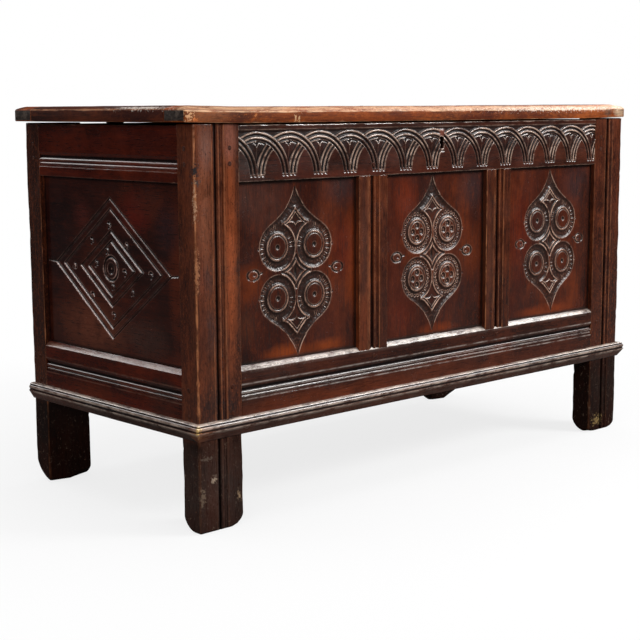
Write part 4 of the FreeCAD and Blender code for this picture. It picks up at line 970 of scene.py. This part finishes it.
# Knots, chips and scratches, and painted highlights on the lid's top edge.
SCARS_AND_HIGHLIGHTS = [
    ((-598, -261, 621), (9, 14, 13), (44, 42, 44), 0.95),
    ((-593, -261, 603), (7, 12, 8), (70, 64, 62), 0.85),
    ((-599, -261, 566), (4, 6, 34), (226, 178, 140), 0.75),
    ((-597, -261, 455), (5, 6, 40), (206, 142, 100), 0.55),
    ((-568, -261, 92), (6, 6, 7), (186, 164, 142), 0.85),
    ((-594, -261, 64), (7, 6, 18), (140, 118, 98), 0.6),
    ((-583, -261, 132), (17, 6, 4), (110, 94, 82), 0.7),
    ((-513, -261, 55), (5, 6, 10), (176, 146, 114), 0.8),
    ((534, -261, 24), (20, 10, 12), (156, 130, 84), 0.8),
    ((-611, -272, 187), (8, 8, 9), (240, 200, 124), 0.9),
    ((-604, -273, 171), (6, 6, 9), (214, 154, 92), 0.8),
    ((-612, -262, 712), (10, 14, 13), (240, 184, 134), 0.9),
    ((-600, -267, 706), (8, 8, 5), (214, 120, 62), 0.8),
    ((-379, -267, 708), (3.5, 8, 10), (230, 182, 134), 0.85),
    ((-371, -267, 706), (3, 8, 8), (230, 182, 134), 0.75),
    ((-470, -267, 712), (5, 8, 3), (214, 130, 70), 0.7),
    # painted highlight along the lid's left end
    ((-616, -140, 726), (9, 90, 6), (240, 226, 212), 0.75),
    ((-616, 255, 722), (12, 18, 12), (22, 18, 18), 0.9),
    # painted highlight along the right part of the lid's front edge
    ((380, -264, 723), (300, 10, 9), (255, 236, 214), 0.65),
    ((0, -262, 724), (420, 10, 7), (236, 186, 146), 0.5),
]
BOTTOM_SCARS = [
    ((-460, -261, 231), (60, 14, 7), (96, 80, 70), 0.5),
    ((-400, -256, 274), (120, 14, 5), (116, 100, 90), 0.5),
]

frame_z = oak("frame_oak_upright", "z", legs=True, specks=0.6, flecks=0.85, deep=(34, 18, 14),
              patches=FRAME_PATCHES, scars_and_highlights=SCARS_AND_HIGHLIGHTS, **FRAME_TONES)
muntin_z = oak("frame_oak_muntin", "z", specks=0.3, patches=MUNTIN_PATCHES, **FRAME_TONES)
frame_x = oak("frame_oak_level", "x", specks=0.5, shine=0.4, patches=BOTTOM_PATCHES, scars_and_highlights=BOTTOM_SCARS,
              **BOTTOM_RAIL_TONES_WITH_SHEEN)
rail_x = oak("rail_oak_carved", "x", specks=0.4, bump=0.12, patches=RAIL_PATCHES, **RAIL_TONES)
frame_y = oak("frame_oak_end", "y", gloss=0.15, bump=0.15, shine=0.35, patches=END_RAIL_PATCHES,
              **END_RAIL_TONES)
panel_z = oak("panel_oak_front", "z", matte_wear=True, deep=(50, 30, 28), grime_and_shade=(33, 32, 29), specks=0.25,
              streaks=0.12, figure_scale=11.0, shine=0.4, patches=PANEL_PATCHES, **PANEL_TONES)
panel_y = oak("panel_oak_end", "y", specks=0.3, gloss=0.15, bump=0.12, patches=END_PATCHES,
              **END_PANEL_TONES)
moulding_x = oak("moulding_oak_front", "x", patches=MOULDING_PATCHES, scars_and_highlights=SCARS_AND_HIGHLIGHTS, specks=0.4,
                 **MOULDING_TONES_WITH_HIGHLIGHT)
moulding_y = oak("moulding_oak_end", "y", patches=MOULDING_PATCHES, scars_and_highlights=SCARS_AND_HIGHLIGHTS, **MOULDING_TONES_WITH_HIGHLIGHT)
lid_x = oak("lid_oak_long", "x", gloss=0.56, shine=0.06, flecks=0.7, specks=0.3, deep=(56, 30, 20),
            patches=LID_PATCHES, scars_and_highlights=SCARS_AND_HIGHLIGHTS, **LID_TONES)
lid_y = oak("lid_oak_cross", "y", gloss=0.6, shine=0.04, scars_and_highlights=SCARS_AND_HIGHLIGHTS, **LID_CROSS_TONES)
lid_panel = oak("lid_oak_panel", "y", gloss=0.72, shine=0.02, **LID_CROSS_TONES)
plain_x = oak("plain_oak_long", "x", gloss=0.6, **PLAIN_TONES)
plain_y = oak("plain_oak_cross", "y", gloss=0.6, **PLAIN_TONES)
plain_z = oak("plain_oak_upright", "z", gloss=0.6, legs=True, **PLAIN_TONES)
lid_end = end_grain("lid_oak_end_grain", (25, 18, 15), (68, 54, 46), (112, 94, 82))
peg_end = end_grain("oak_peg_ends", (50, 24, 15), (96, 48, 29), (70, 34, 20), 0.5)
iron = forged_iron()


# ---- the carcass
PANEL_HIDDEN = 3.0          # how far a panel's edge goes in behind its frame
RUBBED_AND_LIT_LINES = (6.3, 12.5, 18.4)    # from the middle of a rail's channel to the ridges that are painted pale: rubbed wear that also paints their highlights


def inner_arris(t):
    """How far a stile's inner arris is worn: tight where rails join it, round on the leg below."""
    return np.where(t < LEG_HEIGHT, 3.4, 0.9)


def worn_foot(*corners):
    """Rounds a foot away at its corners, each given as place across, depth, how far in and how far up."""
    def reshape(s, depth, t):
        rise = 0.0
        for corner_s, corner_depth, reach, tall in corners:
            q = unit(1 - np.hypot(s - corner_s, depth - corner_depth) / reach)
            rise = np.maximum(rise, tall * rounding(q))
        return s, depth, t + rise * unit(1 - t / 130.0)

    return reshape


WORN_FEET = {
    "back_left": worn_foot((HALF_LENGTH, 0.0, 62.0, 52.0), (HALF_LENGTH, STILE_THICKNESS, 16.0, 10.0),
                           (FRONT_SPAN, STILE_THICKNESS, 26.0, 22.0)),
    "front_left": worn_foot((-HALF_LENGTH, STILE_THICKNESS, 30.0, 32.0), (-FRONT_SPAN, 0.0, 26.0, 24.0)),
    "back_right": worn_foot((-FRONT_SPAN, 0.0, 46.0, 32.0), (-HALF_LENGTH, STILE_THICKNESS, 46.0, 32.0),
                            (-FRONT_SPAN, STILE_THICKNESS, 26.0, 8.0)),
    "front_right": worn_foot((FRONT_SPAN, 0.0, 24.0, 12.0), (HALF_LENGTH, 0.0, 24.0, 18.0),
                             (FRONT_SPAN, STILE_THICKNESS, 34.0, 30.0)),
}


def upright_channel(side, a):
    """The channel that runs down the middle of a front stile or muntin."""
    if side == "back":
        return {}
    middle = sum(a) / 2 - CHANNEL_SHIFT
    return dict(
        profile=lambda s: channel(s, middle), points=channel_points(middle),
        ridges=[(middle + offset, 0.8, 0.5) for offset in (-8.4, 6.3, 18.4)],
    )


def make_stiles():
    flank = [STILE_THICKNESS * share for share in np.arange(1, 10) / 10]
    for name in ("front_left", "front_right", "back_right", "back_left"):
        side = name.split("_")[0]
        if name in ("front_left", "back_right"):
            a, radii = (-HALF_LENGTH, -FRONT_SPAN), [3.2, inner_arris, 2.5, inner_arris]
        else:
            a, radii = (FRONT_SPAN, HALF_LENGTH), [inner_arris, 3.2, inner_arris, 2.5]
        bar(f"{name}_stile", side, "c", a, (0.0, STILE_THICKNESS), (0.0, STILE_TOP), radii, frame_z,
            ends=(5.0, 1.5), step=4.0, reshape=WORN_FEET[name], flank=flank, **upright_channel(side, a))


def make_rails():
    def bottom_channel(s):
        return channel(s, BOTTOM_CHANNEL_HEIGHT, -1)

    def moulded(s):
        slope = unit((s - OPENING_BOTTOM + CHAMFER_HEIGHT) / CHAMFER_HEIGHT) * PANEL_SETBACK
        return bottom_channel(s) + slope

    def top_channel(s):
        return channel(s, END_CHANNEL_HEIGHT, -1)

    top, bottom = (OPENING_TOP, RAIL_TOP), (LEG_HEIGHT, OPENING_BOTTOM)
    thickness, front = (0.0, RAIL_THICKNESS), (-FRONT_SPAN, FRONT_SPAN)
    chamfer = OPENING_BOTTOM - CHAMFER_HEIGHT
    # the chamfer is painted pale as a sheen, and the channel's ridges as rubbed wear with a painted
    # highlight
    ridges = [(chamfer + 1.5, 1.6, 1.0), (chamfer + 5.0, 2.6, 1.0)]
    ridges += [(BOTTOM_CHANNEL_HEIGHT - offset, 0.9, 0.45) for offset in RUBBED_AND_LIT_LINES]
    ridges += [(BOTTOM_CHANNEL_HEIGHT + 8.6, 0.8, 0.45)]
    worn_bottom = dict(profile=moulded, hollow_grime_and_shade=bottom_channel, ridges=ridges)
    worn_bottom["points"] = channel_points(BOTTOM_CHANNEL_HEIGHT, -1)
    worn_bottom["points"] += [chamfer + offset for offset in (-1.2, -0.4, 0.0, 0.4, 1.0, 4.0)]
    bar("front_bottom_rail", "front", "a", front, thickness, bottom, [0.8, 0.5, 1.0, 1.0], frame_x,
        **worn_bottom)
    bar("back_bottom_rail", "back", "a", front, thickness, bottom, [1.2, 1.2, 1.0, 1.0], plain_x)
    bar("back_top_rail", "back", "a", front, thickness, top, [1.2, 1.2, 1.0, 1.0], plain_x)
    for side in ("left", "right"):
        end = (-END_SPAN, END_SPAN)
        bar(f"{side}_end_bottom_rail", side, "a", end, thickness, bottom, [0.8, 0.5, 1.0, 1.0], frame_y,
            **worn_bottom)
        bar(f"{side}_end_top_rail", side, "a", end, thickness, top, [1.2, 1.2, 1.0, 1.0], frame_y,
            profile=top_channel, points=channel_points(END_CHANNEL_HEIGHT, -1),
            ridges=[(END_CHANNEL_HEIGHT - offset, 0.9, 0.5) for offset in RUBBED_AND_LIT_LINES])
    carved_board("front_top_rail", "front", front, thickness, top, top_rail_carving, rail_x,
                 step=0.8, open_edges=(0.6, 0.6, 0.8, 1.6), rubbing_and_highlight=arcade_rubbing_and_highlight)


def make_muntins():
    for name in ("front_left", "front_right", "back_right", "back_left"):
        low_end, side = name in ("front_left", "back_right"), name.split("_")[0]
        a = (-MUNTIN_RIGHT, -MUNTIN_LEFT) if low_end else (MUNTIN_LEFT, MUNTIN_RIGHT)
        foot = OPENING_BOTTOM - (CHAMFER_HEIGHT if side == "front" else 0)
        bar(f"{name}_muntin", side, "c", a, (0.0, RAIL_THICKNESS), (foot, OPENING_TOP),
            [1.6, 1.4, 1.0, 1.0], muntin_z if side == "front" else plain_z, **upright_channel(side, a))


def make_panels():
    face = (PANEL_SETBACK, PANEL_SETBACK + PANEL_THICKNESS)
    c = (OPENING_BOTTOM - PANEL_HIDDEN, OPENING_TOP + PANEL_HIDDEN)
    devices = {                 # middle of the device, drift of its points, petals in its roundels
        "left": ((-365.6, 436.5), (-3.0, 3.0), False),
        "middle": ((-6.7, 441.0), (-2.0, 0.0), True),
        "right": ((363.5, 440.6), (-4.6, 8.5), False),
    }
    for name, behind, a0, a1 in (
        ("left", "right", -FRONT_SPAN, -MUNTIN_RIGHT),
        ("middle", "middle", -MUNTIN_LEFT, MUNTIN_LEFT),
        ("right", "left", MUNTIN_RIGHT, FRONT_SPAN),
    ):
        a = (a0 - PANEL_HIDDEN, a1 + PANEL_HIDDEN)
        carved_board(f"front_{name}_panel", "front", a, face, c,
                     lambda u, v, name=name: panel_device(u, v, *devices[name]), panel_z,
                     hidden=PANEL_HIDDEN, dull_walls=0.85)
        bar(f"back_{behind}_panel", "back", "c", a, face, c, [0.5] * 4, plain_z)
    a = (-END_SPAN - PANEL_HIDDEN, END_SPAN + PANEL_HIDDEN)
    for side in ("left", "right"):
        carved_board(f"{side}_end_panel", side, a, face, c, lozenge, panel_y, hidden=PANEL_HIDDEN,
                     rubbing_and_highlight=lozenge_rubbing_and_highlight)


def make_floor():
    for i in range(1, 5):
        name = f"floor_board_{i}"
        low, high = box_mm(name)
        bar(name, "floor", "c", (low[0], high[0]), (0.0, high[2] - low[2]), (low[1], high[1]), [0.8] * 4,
            plain_y)


# ---- base moulding
MOULDING_SECTION = [        # how far it stands out, height above its foot
    (-0.5, 0.0), (2.0, 0.0), (5.4, 5.4), (8.8, 10.8), (11.4, 15.0), (12.0, 16.0), (12.0, 17.5), (11.4, 17.8),
    (9.8, 18.0), (9.8, 19.6), (10.6, 20.0), (11.5, 21.2), (12.0, 23.2), (11.5, 25.2), (10.6, 26.4),
    (9.8, 26.7), (8.6, 26.9), (8.6, 28.4), (9.8, 28.7), (9.4, 29.6), (8.2, 30.3), (6.0, 30.8), (3.5, 31.0),
    (-0.5, 31.0),
]
MOULDING_WEAR_AND_HIGHLIGHT = [           # height above its foot, how pale it is painted: rubbed wear with a painted highlight on the beads
    (0, 0.05), (14, 0.04), (16, 0.8), (17.6, 0), (19.6, 0), (23, 0.8), (26, 0.1), (28.5, 0), (30, 0.9),
    (31, 0.7),
]
MOULDING_GRIME_AND_SHADE = [          # height above its foot, how dark its quirks are: dirt and painted shade
    (17.7, 0), (18.0, 1), (19.6, 1), (20.3, 0), (26.3, 0), (26.8, 1), (28.4, 1), (28.8, 0),
]


def make_moulding():
    foot = box_mm("base_moulding_front")[0][2]
    out, up = np.array(MOULDING_SECTION).T[:, None, :]
    for side, half, left_mitre, right_mitre in (
        ("front", HALF_LENGTH, 1, 1), ("left", HALF_DEPTH, 0, 1), ("right", HALF_DEPTH, 1, 0),
    ):
        name = f"base_moulding_{side}"
        seed = seed_of(name)
        share = np.linspace(0, 1, int(half / 3))[:, None]
        reach = out + 0.3 * rough_noise(share * half / 20, out * 0.2, seed)
        start = -half - left_mitre * reach
        stop = half + right_mitre * reach
        t = start + (stop - start) * share
        rise = up + 0.25 * rough_noise(share * half / 35, up * 0.1, seed + 4)
        points, faces = tube(place(side, t, -reach, foot + rise))
        worn, dirty_and_shaded = (follow(up + 0 * t, marks) for marks in (MOULDING_WEAR_AND_HIGHLIGHT, MOULDING_GRIME_AND_SHADE))
        material = moulding_x if side == "front" else moulding_y
        add_piece(name, points, faces, [name], material, worn, dirty_and_shaded)


# ---- the lid
LID_SHOULDER = (3.5, 6, 9, 13, 18, 24)      # points across the worn slope of the lid's edges
LID_LIFT = ((-1, 470.0, 150.0, 2.6), (1, 480.0, 120.0, 2.0))    # end, from where, over how far, height


def lid_warp(x):
    """How far the lid's worn ends have lifted, in mm."""
    return sum(unit((end * x - start) / run) ** 1.5 * height for end, start, run, height in LID_LIFT)


def lid_slope(x, y):
    """How far the lid's top has worn down towards its front and its ends: a round-shouldered slope."""
    def share(distance):
        q = unit(1 - distance / LID_EDGE_RUN)
        return 0.7 * q + 0.3 * q**4

    front = LID_FRONT_DROP * share(y - LID_LOW[1])
    ends = LID_END_DROP * share(np.minimum(x - LID_LOW[0], LID_HIGH[0] - x))
    return np.maximum(front, ends)


def shape_lid(along):
    """Gives a lid bar the lid's worn slope and lifted ends."""
    def reshape(s, depth, t):
        x, y = (t, s) if along == "a" else (s, t)
        top = unit(1 - depth / (LID_THICKNESS - 2.0))
        return s, depth + lid_slope(x, y) * top - lid_warp(x), t

    return reshape


def make_lid():
    front, back = LID_LOW[1], LID_BACK
    outer_low, outer_high = [2.6, 0.8, 0.8, 1.2], [0.8, 2.6, 1.2, 0.8]      # which edge is the lid's own
    depth = (0.0, LID_THICKNESS)
    c = (front + LID_RAIL_WIDTH, back - LID_RAIL_WIDTH)
    front_points = [front + offset for offset in LID_SHOULDER]
    front_ridges = [(front + 2.0, 4.0, 0.5), (front + 13.0, 11.0, 0.8)]
    for name, across, radii, points, ridges in (
        ("lid_front_rail", (front, c[0]), outer_low, front_points, front_ridges),
        ("lid_back_rail", (c[1], back), outer_high, (), ()),
    ):
        bar(name, "lid", "a", (LID_LOW[0], LID_HIGH[0]), depth, across, radii, lid_x, ends=(2.2, 3.0),
            wave=0.5, points=points, ridges=ridges, cap_material=lid_end, reshape=shape_lid("a"))
    edges = []
    for name, radii, sign in (
        ("lid_left_rail", outer_low, 1), ("lid_left_muntin", [0.8] * 4, 0),
        ("lid_right_muntin", [0.8] * 4, 0), ("lid_right_rail", outer_high, -1),
    ):
        low, high = (corner[0] for corner in box_mm(name))
        edges.append((low, high))
        points = [(low if sign > 0 else high) + sign * offset for offset in LID_SHOULDER] if sign else ()
        bar(name, "lid", "c", (low, high), depth, c, radii, lid_y, wave=0.5, points=points,
            reshape=shape_lid("c"))
    for name, before, after in zip(("left", "middle", "right"), edges, edges[1:]):
        low, high = box_mm(f"lid_{name}_panel")
        bar(f"lid_{name}_panel", "lid", "c", (before[1] - PANEL_HIDDEN, after[0] + PANEL_HIDDEN),
            (LID_PANEL_RECESS, LID_PANEL_RECESS + high[2] - low[2]),
            (c[0] - PANEL_HIDDEN, c[1] + PANEL_HIDDEN), [0.5] * 4, lid_panel)


# ---- pegs
def islands(node):
    """Lowest and highest corner of each separate solid of a node, in metres."""
    shell = bmesh.new()
    shell.from_mesh(frame["nodes"][node].data)
    bmesh.ops.remove_doubles(shell, verts=shell.verts, dist=1e-6)
    waiting, found = set(shell.verts), []
    while waiting:
        stack = [waiting.pop()]
        group = [stack[0].co.copy()]
        while stack:
            for edge in stack.pop().link_edges:
                for vert in edge.verts:
                    if vert in waiting:
                        waiting.remove(vert)
                        stack.append(vert)
                        group.append(vert.co.copy())
        array = np.array(group)
        found.append((array.min(0), array.max(0)))
    shell.free()
    return sorted(found, key=lambda pair: tuple(pair[0]))


PEG_SIDES = 10
PEG_OUTWARD = {             # axis and direction that the pegs look along; 0 means away from the middle
    "front_frame_pegs": (1, -1), "back_frame_pegs": (1, 1), "end_frame_pegs": (0, 0), "lid_pegs": (2, 1),
}
PEG_RINGS = ((1.0, 0.006), (1.0, 0.0006), (0.86, 0.0001))      # share of the width, metres behind the tip


def make_pegs():
    """Riven pegs with trimmed, slightly domed ends."""
    for node, (axis, direction) in PEG_OUTWARD.items():
        rng = np.random.default_rng(seed_of(node))
        points, faces = [], []
        for low, high in islands(node):
            middle = (low + high) / 2
            sign = direction if direction else (1 if middle[0] > 0 else -1)
            tip = high[axis] if sign > 0 else low[axis]
            across = [i for i in range(3) if i != axis]
            half = (high - low)[across[0]] / 2
            turns = np.arange(PEG_SIDES) / PEG_SIDES * 2 * np.pi + rng.random() * 0.6
            ragged = 1 + 0.10 * (rng.random(PEG_SIDES) - 0.5)
            start = len(points)
            for shrink, back in PEG_RINGS:
                for turn, share in zip(turns, ragged):
                    point = middle.copy()
                    point[axis] = tip - sign * back
                    point[across[0]] += half * share * shrink * math.cos(turn)
                    point[across[1]] += half * share * shrink * math.sin(turn)
                    points.append(point)
            faces += [tuple(start + i for i in face) for face in grid_faces(3, PEG_SIDES, wrap=True)]
            faces.append(tuple(range(start, start + PEG_SIDES)))
            faces.append(tuple(range(start + 2 * PEG_SIDES, start + 3 * PEG_SIDES)))
        add_piece(f"{node}_trimmed", np.array(points), faces, [node], peg_end)


make_stiles()
make_rails()
make_muntins()
make_panels()
make_floor()
make_moulding()
make_lid()
make_pegs()

for node, thing in frame["nodes"].items():
    if slots[node] == "iron" or node == "base_moulding_nails":
        thing.data.materials.clear()
        thing.data.materials.append(iron)

# ---- camera
CAMERA_PLACE = Vector((-2.0179, -2.0883, 0.7239))
CAMERA_YAW, CAMERA_PITCH, CAMERA_ROLL = (math.radians(angle) for angle in (-42.928, 8.6568, -0.2878))
CAMERA_LENS, CAMERA_SENSOR = 78.29, 36.0

forward = Vector((
    -math.sin(CAMERA_YAW) * math.cos(CAMERA_PITCH),
    math.cos(CAMERA_YAW) * math.cos(CAMERA_PITCH),
    -math.sin(CAMERA_PITCH),
))
level = forward.cross(Vector((0, 0, 1))).normalized()
upward = level.cross(forward)
camera_right = level * math.cos(CAMERA_ROLL) + upward * math.sin(CAMERA_ROLL)
camera_up = upward * math.cos(CAMERA_ROLL) - level * math.sin(CAMERA_ROLL)
camera_data = bpy.data.cameras.new("camera")
camera_data.lens = CAMERA_LENS
camera_data.sensor_width = CAMERA_SENSOR
camera = bpy.data.objects.new("camera", camera_data)
turn = Matrix((camera_right, camera_up, -forward)).transposed().to_4x4()
camera.matrix_world = Matrix.Translation(CAMERA_PLACE) @ turn
bpy.context.collection.objects.link(camera)
bpy.context.scene.camera = camera


# ---- light, floor and background
def softbox(name, place_at, aim, size, power, gloss_only=False):
    light = bpy.data.lights.new(name, "AREA")
    light.shape = "RECTANGLE"
    light.size, light.size_y = size
    light.energy = power
    lamp = bpy.data.objects.new(name, light)
    lamp.location = place_at
    lamp.rotation_euler = (Vector(aim) - Vector(place_at)).to_track_quat("-Z", "Y").to_euler()
    lamp.visible_camera = False
    lamp.visible_diffuse = not gloss_only
    bpy.context.collection.objects.link(lamp)


softbox("key", (2.0, -2.6, 2.3), (0, 0, 0.4), (1.2, 1.0), 90)
softbox("fill", (-3.2, -2.0, 1.6), (0, 0, 0.4), (1.4, 1.4), 26)
softbox("overhead", (0.0, 0.0, 2.9), (0, 0, 0.4), (3.0, 2.2), 34)
softbox("glint_key", (2.0, -2.4, 2.1), (0, 0, 0.4), (1.0, 1.0), 60, gloss_only=True)
softbox("sheen_right", (2.3, -0.28, 2.4), (0, -0.26, 0.3), (2.2, 1.6), 170, gloss_only=True)
softbox("sheen_left", (-2.2, 0.5, 2.2), (-0.6, 0, 0.4), (1.3, 1.3), 45, gloss_only=True)
softbox("sheen_back", (-1.3, 2.5, 1.9), (-0.6, 0, 0.3), (1.6, 1.2), 32, gloss_only=True)
softbox("sheen_lid", (2.4, 1.6, 1.9), (0, -0.2, 0.7), (1.6, 1.2), 5, gloss_only=True)

WHITE = (1, 1, 1, 1)
world = bpy.data.worlds.new("studio")
world.use_nodes = True
bpy.context.scene.world = world
sky = Nodes(world.node_tree)
rays = sky.add("LightPath").outputs
around = sky.mixed(rays["Is Glossy Ray"], (0.34, 0.34, 0.35, 1), (0.03, 0.03, 0.032, 1))
sky.feed(sky.tree.nodes["Background"].inputs["Color"], sky.mixed(rays["Is Camera Ray"], around, WHITE))
bpy.context.scene.view_settings.view_transform = "Standard"

FLOOR_HALF = 6.0
floor_corners = [(x * FLOOR_HALF, y * FLOOR_HALF, 0.0) for x, y in ((-1, -1), (1, -1), (1, 1), (-1, 1))]
floor_mesh = bpy.data.meshes.new("studio_floor")
floor_mesh.from_pydata(floor_corners, [], [(0, 1, 2, 3)])
floor = bpy.data.objects.new("studio_floor", floor_mesh)
bpy.context.collection.objects.link(floor)
ground = Material("studio_floor")
floor_mesh.materials.append(ground.material)
seen = ground.add("LightPath").outputs["Is Camera Ray"]
ground.feed(ground.shader.inputs["Roughness"], 0.9)
ground.feed(ground.shader.inputs["Specular IOR Level"], 0.0)
paper = ground.mixed(seen, (0.12, 0.115, 0.11, 1), (0.96, 0.96, 0.96, 1))
ground.feed(ground.shader.inputs["Base Color"], paper)
distance = ground.vector("LENGTH", ground.coords)["Value"]
glow = ground.add("Emission", {"Color": WHITE, "Strength": 1.0})
far = ground.times(ground.between(distance, 0.6, 1.5, 0.8, 1.0), seen)
blend = ground.add("MixShader", {0: far, 1: ground.shader.outputs[0], 2: glow.outputs[0]})
ground.feed(ground.tree.nodes["Material Output"].inputs["Surface"], blend.outputs[0])
